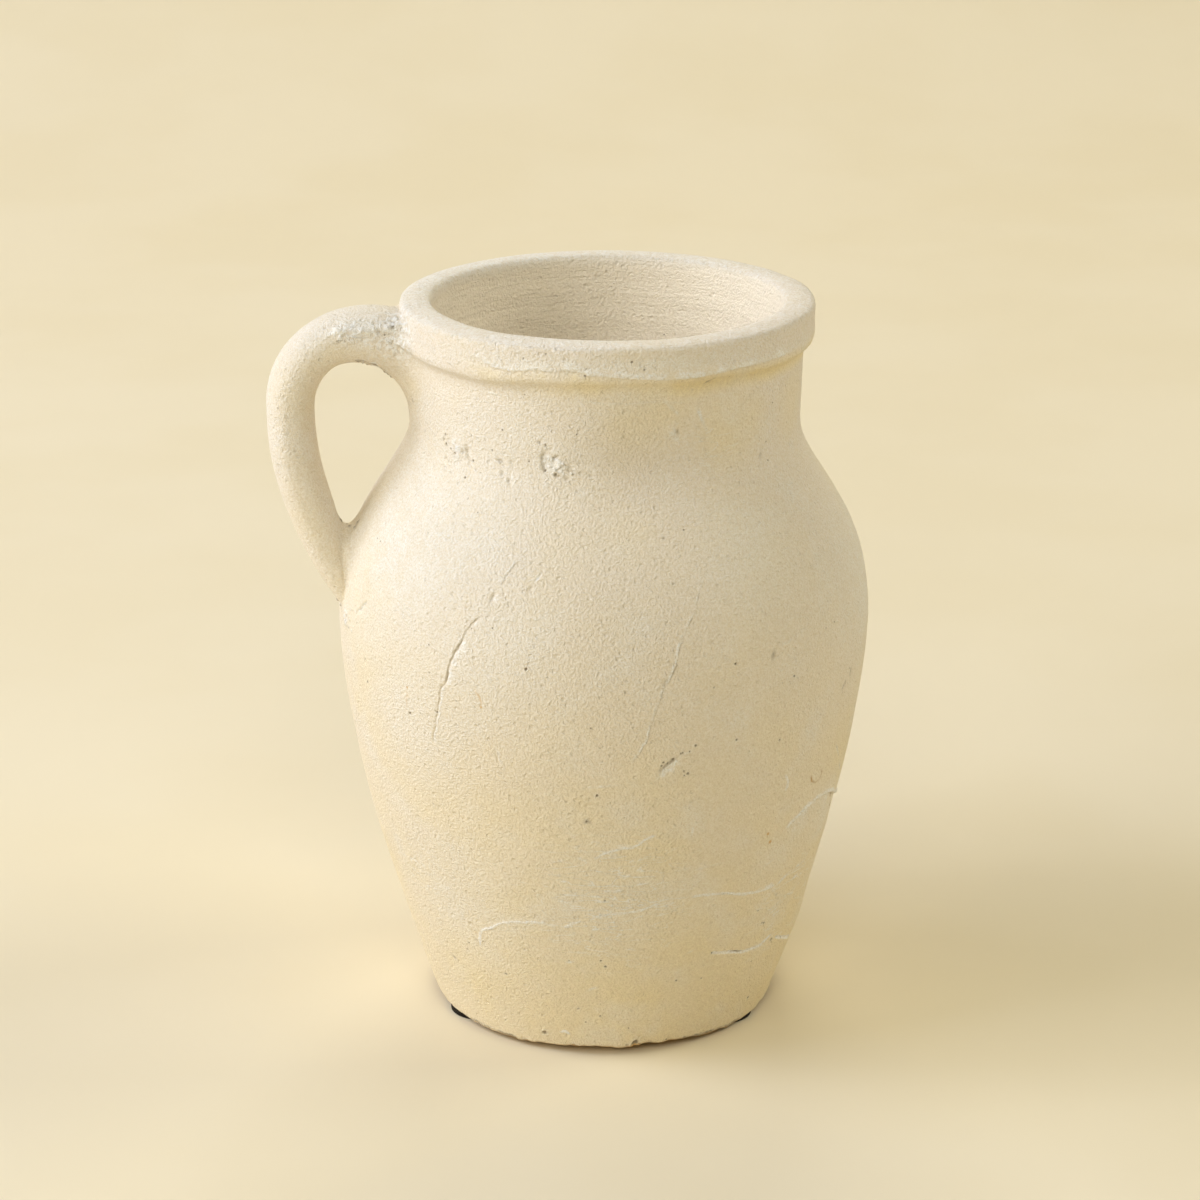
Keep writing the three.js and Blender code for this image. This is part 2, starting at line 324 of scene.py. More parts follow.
def pull_strap():
    """The handle: a tube of many rings laid on the strap's skin, its ends just inside the pot's wall."""
    strap = bmesh.new()
    bmesh.ops.create_cone(
        strap, cap_ends=True, cap_tris=False, segments=STRAP_COLUMNS, radius1=1, radius2=1, depth=1,
    )
    lengthwise = [edge for edge in strap.edges if abs(edge.verts[0].co.z - edge.verts[1].co.z) > 0.5]
    bmesh.ops.subdivide_edges(strap, edges=lengthwise, cuts=STRAP_ROWS - 1, use_grid_fill=True)
    verts = list(strap.verts)
    tube = np.array([vert.co for vert in verts])
    angles = np.arctan2(tube[:, 1], tube[:, 0])
    start, end = strap_crossings(angles, -STRAP_BURIED)
    skin = strap_skin(angles, start + (end - start) * (tube[:, 2] + 0.5))
    for vert, place in zip(verts, skin):
        vert.co = place
    caps = [face for face in strap.faces if len(face.verts) > 4]
    bmesh.ops.poke(strap, faces=caps)
    bmesh.ops.recalc_face_normals(strap, faces=strap.faces)
    return strap


def pot_normal(points):
    """Directions square to the pot's outside."""
    out = points - (AXIS_X, 0, 0)
    out[:, 2] = 0
    out /= np.linalg.norm(out, axis=1)[:, None]
    slope = (pot_radius(points[:, 2] + MM) - pot_radius(points[:, 2] - MM)) / (2 * MM)
    normal = out - slope[:, None] * (0, 0, 1)
    return normal / np.linalg.norm(normal, axis=1)[:, None]


def joint_ring(upper):
    """Closed lines of a joint from the pot beside it to the strap above it, its crease and directions."""
    side_reach, crotch_reach = UPPER_REACH if upper else LOWER_REACH
    crotch_base, crotch_gain = UPPER_CROTCH if upper else LOWER_CROTCH
    pot_bend, strap_bend = UPPER_BEND if upper else LOWER_BEND
    angles = np.linspace(0, 2 * math.pi, 1441)
    ends = strap_crossings(angles, 0)
    shares = ends[0] if upper else ends[1]
    crease = strap_skin(angles, shares)
    lengths = np.linalg.norm(np.diff(crease, axis=0), axis=1)
    along = np.concatenate([[0], np.cumsum(lengths)])
    stops = np.linspace(0, along[-1], JOINT_COLUMNS + 1)[:-1]
    angles = np.interp(stops, along, angles)
    shares = np.interp(stops, along, shares)
    crease = strap_skin(angles, shares)
    middle = crease.mean(axis=0)
    round_it = np.roll(crease, -2, axis=0) - np.roll(crease, 2, axis=0)
    normal = pot_normal(crease)
    away = np.cross(round_it, normal)
    away /= np.linalg.norm(away, axis=1)[:, None]
    away *= np.sign(np.sum(away * (crease - middle), axis=1))[:, None]
    reach = side_reach + (crotch_reach - side_reach) * smooth(crotch_base - crotch_gain * np.cos(angles))
    beside = crease + reach[:, None] * away
    beside[:, 2] = np.minimum(beside[:, 2], JOINT_TOP)
    turn = np.arctan2(beside[:, 1], beside[:, 0] - AXIS_X)
    radius = pot_radius(beside[:, 2])
    beside = np.stack([AXIS_X + radius * np.cos(turn), radius * np.sin(turn), beside[:, 2]], axis=1)
    step = reach / (len(STRAP_LINE) * STRAP_STEP) * (1 if upper else -1)
    above = strap_skin(angles, shares + step)
    inward = strap_skin(angles + math.pi, shares + step) - above
    inward /= np.linalg.norm(inward, axis=1)[:, None]
    down_strap = strap_skin(angles, shares + 0.9 * step) - above
    down_strap /= np.linalg.norm(down_strap, axis=1)[:, None]
    start_normal = pot_normal(beside)
    to_crease = crease - beside
    to_crease -= np.sum(to_crease * start_normal, axis=1)[:, None] * start_normal
    bend = strap_bend * np.linalg.norm(crease - above, axis=1)[:, None]
    curve = (beside, beside + pot_bend * to_crease, above + bend * down_strap, above)
    to_crease /= np.linalg.norm(to_crease, axis=1)[:, None]
    return curve, crease, normal, start_normal, inward, to_crease, down_strap


def smear_joint(upper):
    """Clay smoothed into the crease between pot and strap, as a closed ring with a hollow face."""
    curve, crease, normal, start_normal, inward, to_crease, down_strap = joint_ring(upper)
    beside, on_from_pot, on_to_strap, above = curve
    deep = crease - JOINT_DEEP * normal + 0.5 * JOINT_DEEP * inward
    rows = [beside - JOINT_RUNOUT * to_crease - JOINT_DIP * start_normal]
    for share in np.linspace(0, 1, JOINT_ROWS):
        rest = 1 - share
        first = rest ** 3 * beside + 3 * rest ** 2 * share * on_from_pot
        rows.append(first + 3 * rest * share ** 2 * on_to_strap + share ** 3 * above)
    rows += [above - JOINT_RUNOUT * down_strap + JOINT_DIP * inward, deep]
    ring = bmesh.new()
    bmesh.ops.create_grid(ring, x_segments=len(rows), y_segments=JOINT_COLUMNS, size=1)
    for vert in ring.verts:
        row = round((vert.co.x + 1) / 2 * len(rows)) % len(rows)
        column = round((vert.co.y + 1) / 2 * JOINT_COLUMNS) % JOINT_COLUMNS
        vert.co = rows[row][column]
    bmesh.ops.remove_doubles(ring, verts=ring.verts, dist=0.0001 * MM)
    bmesh.ops.recalc_face_normals(ring, faces=ring.faces)
    return ring


# Unevenness left by the hands: swellings all through the clay, as (length, height), the same each run
noise.seed_set(11)
HAND_WAVES = [(31 * MM, 0.34 * MM), (11 * MM, 0.13 * MM)]
# Neck and rim lean a little towards the right of the photograph
LEAN = 1.4 * MM
LEAN_FROM = 150 * MM
LEAN_TOWARDS = (0.9925, -0.1219, 0)
LEAN_FADE = 22 * MM
# Fuller places of the wall: turn, height, half width in degrees, half height, rise
FULL_PLACES = [(83, 28, 50, 20, 0.8), (-97, 72, 50, 24, 0.5), (-20, 168, 40, 14, 0.25)]
# The base sags in places, as (turn, half width, drop in millimetres), and its edge is ragged
SAGS = [(-42, 50, 1.2), (44, 46, 1.5), (-1.5, 7, 0.9)]
SAG_HEIGHT = 11 * MM
RAGGED_EDGE = 0.55 * MM
EDGE_HEIGHT = 3.5 * MM
EDGE_LENGTH = 3.4 * MM
# The band's lower edge wanders up and down
BAND_WANDER = 1.1 * MM
BAND_WAVES = [(2, 0.5, 0.4), (3, 0.45, 2.1), (7, 0.28, 4.0), (13, 0.14, 1.2)]
# Throwing rings inside the mouth
RING_PITCH = 8.5 * MM
RING_DEPTH = 0.14 * MM
RING_SLANT = 0.05

# Marks in the pot's outside. A section is (millimetres to the right of the route, millimetres of rise),
# a tone has its amount in place of the rise, and a route is (degrees from the front, millimetres up).
CRACK = [(-0.4, 0), (-0.1, -0.36), (0.1, -0.42), (0.45, -0.22), (1.0, -0.04), (1.8, 0.04), (3.4, 0)]
SEAM = [(-0.5, 0), (-0.1, -0.28), (0.15, -0.28), (0.5, 0.06), (1.0, 0.1), (1.9, 0)]
NICK = [(-0.7, 0), (-0.2, -0.35), (0.2, -0.4), (0.8, -0.15), (1.5, 0)]
HAIRLINE = [(-0.5, 0), (-0.1, 0.15), (0.15, -0.1), (0.5, 0)]
RIDGE = [(-0.55, 0), (-0.1, 0.12), (0.1, 0.12), (0.55, 0)]
THREAD = [(-0.5, 0), (0, 0.17), (0.5, 0)]
SCAR = [(-0.7, 0), (-0.15, -0.3), (0.15, -0.3), (0.7, 0)]
SLIVER = [(-0.6, 0), (0, 0.1), (0.6, 0)]
GOUGE = [(-1.0, 0), (-0.2, -0.38), (0.2, -0.4), (1.0, 0)]
CHIP = [(-0.6, 0), (0, -0.62), (1.2, -0.5), (2.4, -0.1), (3.6, -0.3), (5.2, 0.18), (6.4, 0)]
SMALL_CHIP = [(-0.6, 0), (0, -0.6), (0.8, -0.5), (1.7, 0.16), (2.8, 0)]
SMEAR = [(-1.6, 0), (-0.6, -0.1), (0.6, -0.1), (1.6, 0)]
FLAKE = [(-1.2, 0), (-0.35, 0.4), (0, 0.4), (0.35, -0.6), (1.5, -0.5), (4, -0.35), (11, 0)]
LEVEL = [(-1, 0), (1, 0)]
LEDGE = [(-3, 0), (-0.8, 0.17), (0.1, 0.2), (0.8, -0.24), (2.5, -0.14), (6, 0)]
# Crack and seam tones: the grime on the steep left wall is painted shade, and the chalk on the right slope is
# a painted highlight where that slope faces the light.
CRACK_TONE = {
    "chalk_and_painted_highlight": [(0.2, 0), (0.8, 1.0), (2.0, 0.5), (4.5, 0)],
    "grime_and_painted_shade": [(-0.45, 0), (-0.05, 0.42), (0.35, 0)],
}
SEAM_TONE = {"chalk_and_painted_highlight": [(0.2, 0), (0.7, 1.2), (1.4, 0.5), (2.6, 0)], "grime_and_painted_shade": [(-0.4, 0), (0, 0.35), (0.3, 0)]}
# Chip tones: the grime on the steep wall is painted shade, and the chalk on the rims is white wash that also
# stands in for their lit edges, a painted highlight.
CHIP_TONE = {
    "chalk_and_painted_highlight": [(-1.6, 0), (-1.0, 1.2), (-0.6, 0.2), (1.2, 1.6), (4.6, 1.4), (5.4, 2), (6.6, 0)],
    "grime_and_painted_shade": [(-0.6, 0), (-0.1, 0.5), (0.6, 0)],
    "rough": [(0.2, 0), (1.2, 0.8), (4.5, 0.8), (6, 0)],
}
SMALL_CHIP_TONE = {"chalk_and_painted_highlight": [(0.3, 0), (1.2, 2), (3.0, 0)], "grime_and_painted_shade": [(-0.6, 0), (0, 0.6), (0.6, 0)]}
PALE = {"chalk_and_painted_highlight": [(-0.8, 0), (0, 1.1), (0.8, 0)]}
WHITE_THREAD = {"chalk_and_painted_highlight": [(-0.62, 0), (-0.25, 1.9), (0.25, 1.9), (0.62, 0)]}
WHITE_BLOB = {"chalk_and_painted_highlight": [(-1.3, 0), (-0.5, 1.8), (0.5, 1.8), (1.3, 0)]}
FAINT = {"chalk_and_painted_highlight": [(-0.6, 0), (0, 0.6), (0.6, 0)]}
# Grey laid in nicks, gouges and thin lines is painted shade in their hollows; the slit is only a painted dark
# line of shade, with no relief under it.
GREY = {"grime_and_painted_shade": [(-1.0, 0), (0, 0.75), (1.0, 0)]}
SLIT_PAINTED_SHADE = {"grime_and_painted_shade": [(-0.35, 0), (-0.1, 1.1), (0.1, 1.1), (0.35, 0)]}
# Flake tone: the grime just past the raised edge is a painted shadow of the step, and the white arc is partly
# a painted highlight on that edge.
FLAKE_TONE = {
    "chalk_and_painted_highlight": [(-1.4, 0), (-0.8, 1.9), (0.15, 1.9), (0.4, 0.3), (1.0, 0.8), (9, 0.4), (13, 0)],
    "grime_and_painted_shade": [(0.1, 0), (0.5, 0.7), (1.0, 0)],
}
RUSTY = {"rust_and_painted_shade": [(-0.45, 0), (0, 0.6), (0.45, 0)]}
BROWN = {"rust_and_painted_shade": [(-0.6, 0), (-0.1, 0.45), (0.1, 0.45), (0.6, 0)], "grime_and_painted_shade": [(-0.6, 0), (0, 0.45), (0.6, 0)]}
SCAR_TONE = {"chalk_and_painted_highlight": [(-0.8, 0), (-0.3, 2.2), (0.3, 2.2), (0.8, 0)]}
# Hairline tone: the chalk is wash caught in the line, and the grime on its right is painted shade beside the
# ridge.
HAIR_TONE = {"chalk_and_painted_highlight": [(-0.9, 0), (-0.3, 1.1), (0.2, 0)], "grime_and_painted_shade": [(-0.1, 0), (0.2, 0.35), (0.5, 0)]}
STREAK_TONE = {
    "chalk_and_painted_highlight": [(-0.4, 0), (0.2, 1.5), (1.0, 1.5), (1.7, 0)],
    "grime_and_painted_shade": [(-1.6, 0), (-0.8, 0.45), (-0.2, 0.45), (0.3, 0)],
}
# Ledge tone: the ochre below the band's lower edge is painted shade under its overhang.
LEDGE_TONE = {
    "chalk_and_painted_highlight": [(-3, 0), (-0.9, 1.0), (0.1, 1.1), (0.6, 0)],
    "ochre_and_painted_shade": [(0.3, 0), (1.5, 0.35), (4, 0.35), (8, 0)],
}
# Sections that hardly fade along their route
STEADY = [LEDGE, CRACK, SEAM, FLAKE, SCAR, THREAD, CHIP, SMALL_CHIP]
# The marks that the photograph shows, by section and tones
POT_MARKS = [
    (CRACK, CRACK_TONE, [
        [(-41.4, 134.2), (-41.1, 135.4), (-40.7, 138.8), (-40, 142.5), (-38.8, 146), (-37.5, 149.5),
         (-36.5, 152.8), (-35.2, 155.4), (-33.3, 158)],
    ]),
    (SEAM, SEAM_TONE, [
        [(-45.5, 113.6), (-45.4, 116), (-44.6, 118.6), (-44.3, 121), (-43.6, 124.1), (-43.4, 126.4),
         (-42.8, 129), (-42.7, 131.8), (-42, 133.6), (-41.3, 134.6)],
        [(-42.6, 38), (-43.4, 39.6), (-44.4, 40.9)],
    ]),
    (SEAM, FAINT, [[(-43.5, 108.5), (-44.2, 112)]]),
    (NICK, CRACK_TONE, [
        [(-31.9, 161.9), (-31, 165.2)], [(-23.5, 166.1), (-22.7, 168)], [(60.2, 196.4), (61.1, 199.6)],
    ]),
    (HAIRLINE, FAINT, [[(-32.8, 159.4), (-31.9, 162)], [(57, 101), (63, 92), (68, 84)]]),
    (HAIRLINE, HAIR_TONE, [
        [(-30.4, 166.6), (-29.3, 169.5), (-28, 172.4), (-26.7, 174.7)],
        [(-0.7, 113.7), (1.7, 120), (2.6, 125.7), (3.6, 130.9), (5.1, 137.9), (6.3, 140), (7.8, 144.6),
         (8.6, 149.7), (10.3, 154.5), (12.5, 159.8), (14.5, 166.6)],
    ]),
    (SEAM, PALE, [
        [(-22.2, 169.1), (-20.7, 172)], [(-83.7, 143.2), (-81.1, 142.1), (-81.6, 139.6), (-78.4, 139)],
    ]),
    (NICK, GREY, [
        [(5.1, 138.2), (5.9, 140.6)], [(55.6, 120.5), (57, 122.6)], [(-55.9, 28.8), (-54.3, 27.8)],
        [(20.6, 225.6), (23.2, 227.5)], [(43, 197.6), (43.6, 200)], [(15.8, 3.4), (19.7, 3.3)],
    ]),
    (SMEAR, STREAK_TONE, [[(4.6, 108.6), (6.1, 111.3), (7.2, 112.6), (8.4, 114)]]),
    (SLIVER, FAINT, [[(8.4, 114.2), (9.7, 115.2), (11.5, 116.2)]]),
    (SEAM, {"chalk_and_painted_highlight": [(-1.6, 0), (-0.6, 1.5), (-0.1, 0)]}, [[(-29.9, 114.8), (-29.3, 110.4)]]),
    (GOUGE, GREY, [[(30, 141), (30.7, 144)], [(59.3, 123.4), (59.9, 127.8)]]),
    (HAIRLINE, BROWN, [
        [(46.6, 94.9), (47.2, 92.6), (49.4, 90.9), (51.4, 91.4), (51.9, 93.6), (50.4, 95.4)],
    ]),
    (RIDGE, WHITE_THREAD, [[(37.3, 92.7), (38, 94.6), (37.9, 96.7), (37, 99)]]),
    (FLAKE, FLAKE_TONE, [
        [(40.6, 77.6), (42, 79.2), (44.3, 80.9), (47.5, 82.8), (51.3, 83.9), (56.5, 83.2), (61.9, 81.2),
         (66, 78.6), (70, 76.2), (74, 74.2), (77, 73.2)],
    ]),
    (NICK, BROWN, [[(63, 80.6), (65.2, 77.4), (67.5, 73.6), (70.5, 69.8)]]),
    (THREAD, WHITE_THREAD, [
        [(14.8, 61.7), (20.5, 61.1), (25.2, 60.3), (29.5, 58.2), (33.4, 57.1), (38.2, 56.2), (41.5, 56.3)],
        [(-42.7, 38.5), (-42.3, 41.5), (-41.4, 43.9), (-39.7, 45.6), (-38, 46.5), (-36.2, 48.1),
         (-34.5, 49.6), (-32.2, 50.7), (-30, 51.5), (-26.5, 52.2), (-23.2, 52.6), (-21.8, 53.2)],
        [(-47.2, 48.3), (-46.2, 48.7)], [(-17, 37.7), (-15.3, 38)],
        [(-20.5, 8.7), (-19.2, 9.2), (-17.7, 8.2)], [(-17, 51.6), (-14.6, 53.5), (-12.1, 54.8)],
        [(-10.3, 56.3), (-7.8, 56.7), (-5.8, 57.6), (-1.3, 58.1), (2.8, 58.7), (5.2, 60.3), (7.3, 60.7)],
        [(-9.3, 78.4), (-7.4, 80.6), (-5.1, 81.8), (-2.6, 82.6), (-0.7, 82.6), (0.8, 83.7), (1.9, 85.2),
         (4.5, 86.7)], [(-10, 51.4), (-7.9, 51.8)], [(-17.2, 69.6), (-15.3, 70.1)],
    ]),
    (THREAD, FAINT, [
        [(1.9, 60.8), (8, 61.9), (14.8, 61.7)], [(40.6, 55.9), (44.6, 50.9), (55.2, 46.8)],
        [(-1.9, 43.3), (0, 43.5), (1.8, 42.6)], [(9.1, 72.4), (13.6, 72.7)], [(15.7, 38.9), (18.2, 40.3)],
        [(35.9, 66.3), (39.3, 68.1)],
    ]),
    (SLIVER, WHITE_BLOB, [[(35.9, 56.9), (38.4, 57), (40.8, 56.6)]]),
    (SCAR, SCAR_TONE, [
        [(24, 36.9), (30.1, 35.2), (35.7, 33.1), (43.2, 32.7), (47.8, 34.7)],
        [(50.5, 32.3), (56, 29.4), (62, 26.4), (68.1, 23.4)],
    ]),
    (LEVEL, SLIT_PAINTED_SHADE, [[(30.8, 35.2), (35, 33.5)]]),
    (SMEAR, {"rust_and_painted_shade": [(-0.9, 0), (0, 0.3), (0.9, 0)]}, [[(-44.3, 43.6), (-43.2, 43), (-42.6, 42.2)]]),
    (HAIRLINE, GREY, [
        [(-11.2, 92), (-10.5, 92.9), (-9.8, 92)],
        [(-63.1, 3.9), (-54.6, 4.3), (-46.9, 4.1), (-38.5, 3.8), (-32.3, 3.4)],
        [(21, 3.6), (27.7, 3.9), (35.9, 3.8), (45, 3.9)],
    ]),
    (SLIVER, PALE, [
        [(-11.8, 26.6), (-10.5, 27.4), (-8.9, 27.8)], [(13.3, 31.6), (14.3, 32)],
        [(8.6, 222.2), (11, 219.6), (13.5, 216.9)], [(55, 60.4), (56.9, 61.7)],
        [(13.3, 89.1), (13.1, 86.6), (12.9, 83.7)],
    ]),
    (THREAD, PALE, [
        [(-5, 65.9), (-2.1, 67.3)], [(-2.7, 70.8), (-0.4, 73.3)], [(-12, 58.4), (-9.3, 59.3)],
        [(43.4, 56.1), (45.6, 57.3), (47.1, 58.1)], [(50.3, 58.8), (53.6, 58.6), (56.1, 59.5)],
        [(50.6, 54.1), (54.1, 54.9)],
    ]),
    (SMALL_CHIP, SMALL_CHIP_TONE, [
        [(-47.8, 198.4), (-48.8, 198.9), (-49.9, 200), (-50.4, 201.5), (-50.2, 203.4)],
        [(-16.6, 198.9), (-17, 200.5), (-16.7, 201.9)], [(-11, 198), (-11.1, 199.4)],
        [(-37.2, 199.9), (-37.3, 201.3)], [(-34, 199.5), (-34.2, 200.8)], [(-36.8, 196.2), (-37.4, 197.8)],
        [(-34.4, 194.4), (-35, 196)], [(13.4, 212.6), (13.8, 210.4)],
    ]),
    (CHIP, CHIP_TONE, [
        [(-23.8, 198.8), (-24.1, 199.9), (-24.6, 201.3), (-24.8, 202.8), (-24.6, 204.5), (-23.8, 205.8)],
    ]),
    (NICK, SMALL_CHIP_TONE, [[(-22.3, 202.9), (-21.4, 203.3), (-20.9, 204.2)]]),
    (HAIRLINE, PALE, [[(19.2, 218.4), (21, 214.3), (22.7, 210.3)]]),
    (SMALL_CHIP, PALE, [[(-72.6, 145.2), (-70.7, 147.9), (-68.3, 151.4)]]),
    (LEVEL, RUSTY, [[(-34.2, 134.6), (-33, 132), (-32.7, 130.4), (-33, 128.4)]]),
    (LEVEL, {"rust_and_painted_shade": [(-0.4, 0), (0, 0.4), (0.4, 0)]}, [[(-52.2, 129.2), (-52.6, 122.8)]]),
    (RIDGE, FAINT, [[(-12, 221.6), (-4, 221), (6, 221.4), (15, 220.6)]]),
    (RIDGE, PALE, [[(-46, 222.6), (-41, 222.8), (-36, 222)]]),
    (LEDGE, LEDGE_TONE, [
        [(-52, 233.4), (-43.1, 234), (-38.6, 232), (-33.8, 231.4), (-29.2, 231.7), (-25.7, 232.4),
         (-22, 231.8), (-18.4, 232.7), (-15, 232.5), (-11.8, 231.1), (-8.2, 230.7), (-1.4, 230.1),
         (5.6, 229.4), (16.4, 229.2), (23.9, 229.4), (32.2, 229.9), (45, 230.4), (58, 230.6)],
    ]),
]
# Rims of pits and crumbs: how ragged, how high for their depth, and how chalky
RIM_RAGGED = 0.35
RIM_RISE = 0.14
RIM_CHALK = 0.35
CRUMB_CHALK = 1.3
# Groups of small pits: route, spread across it, how many, how dark
PIT_GROUPS = [
    ([(-61.5, 202.7), (-55, 200.6), (-48.5, 200.2)], 3.0, 10, 0.3),
    ([(-38.6, 200.9), (-35.6, 199.5)], 1.0, 2, 0.3),
    ([(-23.5, 204.5), (-20.5, 201), (-17.9, 199.2)], 3.4, 12, 0.25),
    ([(-16.4, 200), (-13, 198.8)], 1.0, 3, 0.3),
    ([(-86.8, 142.4), (-76.5, 137.4)], 2.4, 7, 0.4),
    ([(-13.6, 232.6), (-12.4, 233.2)], 0.8, 3, 0.5),
    ([(-60, 3.6), (-15, 3.6)], 0.8, 12, 0.5),
    ([(0, 3.8), (45, 3.8)], 0.8, 10, 0.5),
]
# How dark the floors of the single pits are painted, as shade in their hollows
PIT_DARKNESS = 1.1
# Single pits: turn, height, radius, depth
SINGLE_PITS = [
    (-8.2, 101.9, 0.55, 0.45), (-10.6, 92.5, 0.5, 0.4), (-6.6, 62.8, 0.5, 0.4), (-6.6, 36.5, 0.55, 0.4),
    (-25.9, 7.8, 0.9, 0.6), (-55.1, 28.3, 0.6, 0.4), (-22.9, 143.5, 0.6, 0.6), (-51.8, 120.7, 0.6, 0.6),
    (-67.2, 124.3, 0.6, 0.4), (20.8, 142.7, 0.5, 0.35), (36.2, 133.9, 0.5, 0.35), (33.4, 113.1, 0.5, 0.35),
    (21.9, 117.1, 0.5, 0.3), (48.6, 32.2, 0.8, 0.5), (-12.9, 230.8, 0.5, 0.3), (3.2, 4.2, 1.5, 0.9),
    (5.5, 113.1, 0.45, 0.35), (6.5, 112.6, 0.5, 0.35), (7.6, 113.9, 0.6, 0.4), (9.2, 115.7, 0.45, 0.3),
    (9.6, 115.9, 0.35, 0.3), (11.1, 116.1, 0.35, 0.25), (12.4, 117.8, 0.5, 0.35), (5.1, 111.9, 0.5, 0.2),
    (11.1, 108.1, 0.6, 0.5), (10.2, 109.1, 0.5, 0.4), (10.3, 107.6, 0.3, 0.25),
    (-59.7, 204.7, 0.5, 0.35), (-60.6, 203, 0.55, 0.4), (-59.3, 201.9, 0.5, 0.35), (-57.1, 200.8, 0.45, 0.3),
    (-55.2, 199.7, 0.45, 0.3), (-47.6, 199, 0.5, 0.4), (-40.6, 203.7, 0.4, 0.25), (-49.4, 193.5, 0.55, 0.3),
    (-23.8, 207.7, 0.5, 0.4), (-23.7, 199.6, 0.5, 0.4), (-20.6, 198.7, 0.65, 0.4),
    (43.5, 79.3, 0.55, 0.35), (45.2, 80.7, 0.5, 0.3), (46.5, 81.9, 0.45, 0.3),
    (24, 36.9, 0.5, 0.4), (41.8, 41.7, 0.55, 0.4), (40.9, 42.1, 0.45, 0.3), (37.6, 48.3, 0.45, 0.3),
    (44.1, 51.6, 0.5, 0.4), (52.2, 31.4, 0.5, 0.3), (56.1, 29.2, 0.5, 0.3), (61.4, 26.9, 0.5, 0.3),
    (23.7, 60.4, 0.4, 0.2), (-7.8, 38.9, 0.45, 0.35),
    (-23.5, 237.2, 0.4, 0.3), (-29.5, 235.2, 0.4, 0.3), (-0.8, 235.2, 0.45, 0.35), (2.6, 232.6, 0.45, 0.35),
    (-46.8, 37.5, 0.35, 0.2), (-65.6, 16.6, 0.4, 0.3), (-35.7, 29.2, 0.5, 0.35), (-16.5, 38.4, 0.35, 0.3),
    (-14.5, 18.9, 0.5, 0.35), (-7.9, 16, 0.4, 0.3), (14, 28.5, 0.45, 0.3), (46.1, 10.9, 0.55, 0.4),
]
# Crumbs of clay stuck to the outside: turn, height, radius, darkness
POT_CRUMBS = [
    (-81.1, 141.5, 0.6, 0.1), (-79.1, 141.2, 0.5, 0.6), (-76.6, 141, 0.7, 0.1), (-78.9, 138.9, 0.6, 0.2),
    (-77.2, 138, 0.5, 0.8), (-75, 138.1, 0.6, 0.1), (-73.1, 145.1, 0.5, 0.1), (-76.3, 144.5, 0.6, 0.1),
    (-16.2, 199.2, 0.6, 0), (-18.5, 202, 0.7, 0), (-21.6, 203.2, 0.7, 0), (-21, 200.3, 0.6, 0),
    (-53, 201, 0.7, 0), (-56, 202.4, 0.6, 0), (-50.5, 199.6, 0.6, 0), (-19.6, 201, 0.5, 0.1),
    (-22.6, 201, 0.5, 0),
]
RUST_PLACES = [(34.3, 79.1, 0.6), (35.6, 75.6, 0.7), (-52.2, 129.2, 0.4), (-32.8, 129, 0.4)]

# How finely the pot's mesh is split beside marks, round by round
SITE_SPACING = 3
CRISP_SPACING = 2
ROUGH_SPLIT = 0.7
SPLIT_MARGINS = (1.9 * MM, 0.95 * MM, 0.35 * MM)
FINEST_EDGE = 0.5 * MM
FINE_BESIDE = 0.62 * MM
STRAY_BESIDE = 0.35 * MM
# The clearest cracks and the dark pits are split finer still
CRISP_MARGINS = (0.4 * MM, 0.15 * MM)
CRISP_EDGE = 0.28 * MM
CRISP_BESIDE = 0.5 * MM
CRISP_SECTIONS = [CRACK, SEAM, FLAKE, SCAR]
# Spacing of the points along a mark's route
ROUTE_STEP = 0.25 * MM
# Marks wander aside and grow fainter and stronger along their way, and fade at their ends, as
# (strength at the end, growth for each millimetre)
RAGGED_LENGTH = 1.7 * MM
RAGGED_SHIFT = 0.25
UNEVEN_LENGTH = 4.1 * MM
UNEVEN_SHARE = 1.3
FAINTEST = 0.15
STEADY_FAINTEST = 0.7
STRONGEST = 1.6
SHORT_FADE = (0.25, 0.5)
LONG_FADE = (0, 0.08)


def on_strap(angle, share):
    """Point on the strap: degrees round its section from the outer face, and share of its length."""
    return Vector(strap_skin(np.array(math.radians(angle)), np.array(share)))


def route_over(place, route):
    """A route of number pairs, each put on a surface by place, as closely set points."""
    stops = range(len(route))
    steps = np.linspace(0, 1, 40 * (len(route) - 1) + 1) * (len(route) - 1)
    pairs = zip(*(np.interp(steps, stops, numbers) for numbers in np.array(route, float).T))
    return even([place(first, second) for first, second in pairs], ROUTE_STEP)


def waver(points, length, seed=0):
    """Smooth noise at points, between -1 and 1."""
    shift = Vector((seed * 17.3, seed * 5.1, -seed * 9.7))
    return np.array([noise.noise(Vector(point) / length + shift) for point in points])


def window(values, middle, half_width):
    """1 at the middle, falling smoothly to 0 at each side."""
    return smooth(1 - np.abs(values - middle) / half_width)


def turns_of(points):
    """Degrees round the axis from the front, towards +X."""
    return np.degrees(np.arctan2(points[:, 0] - AXIS_X, -points[:, 1]))


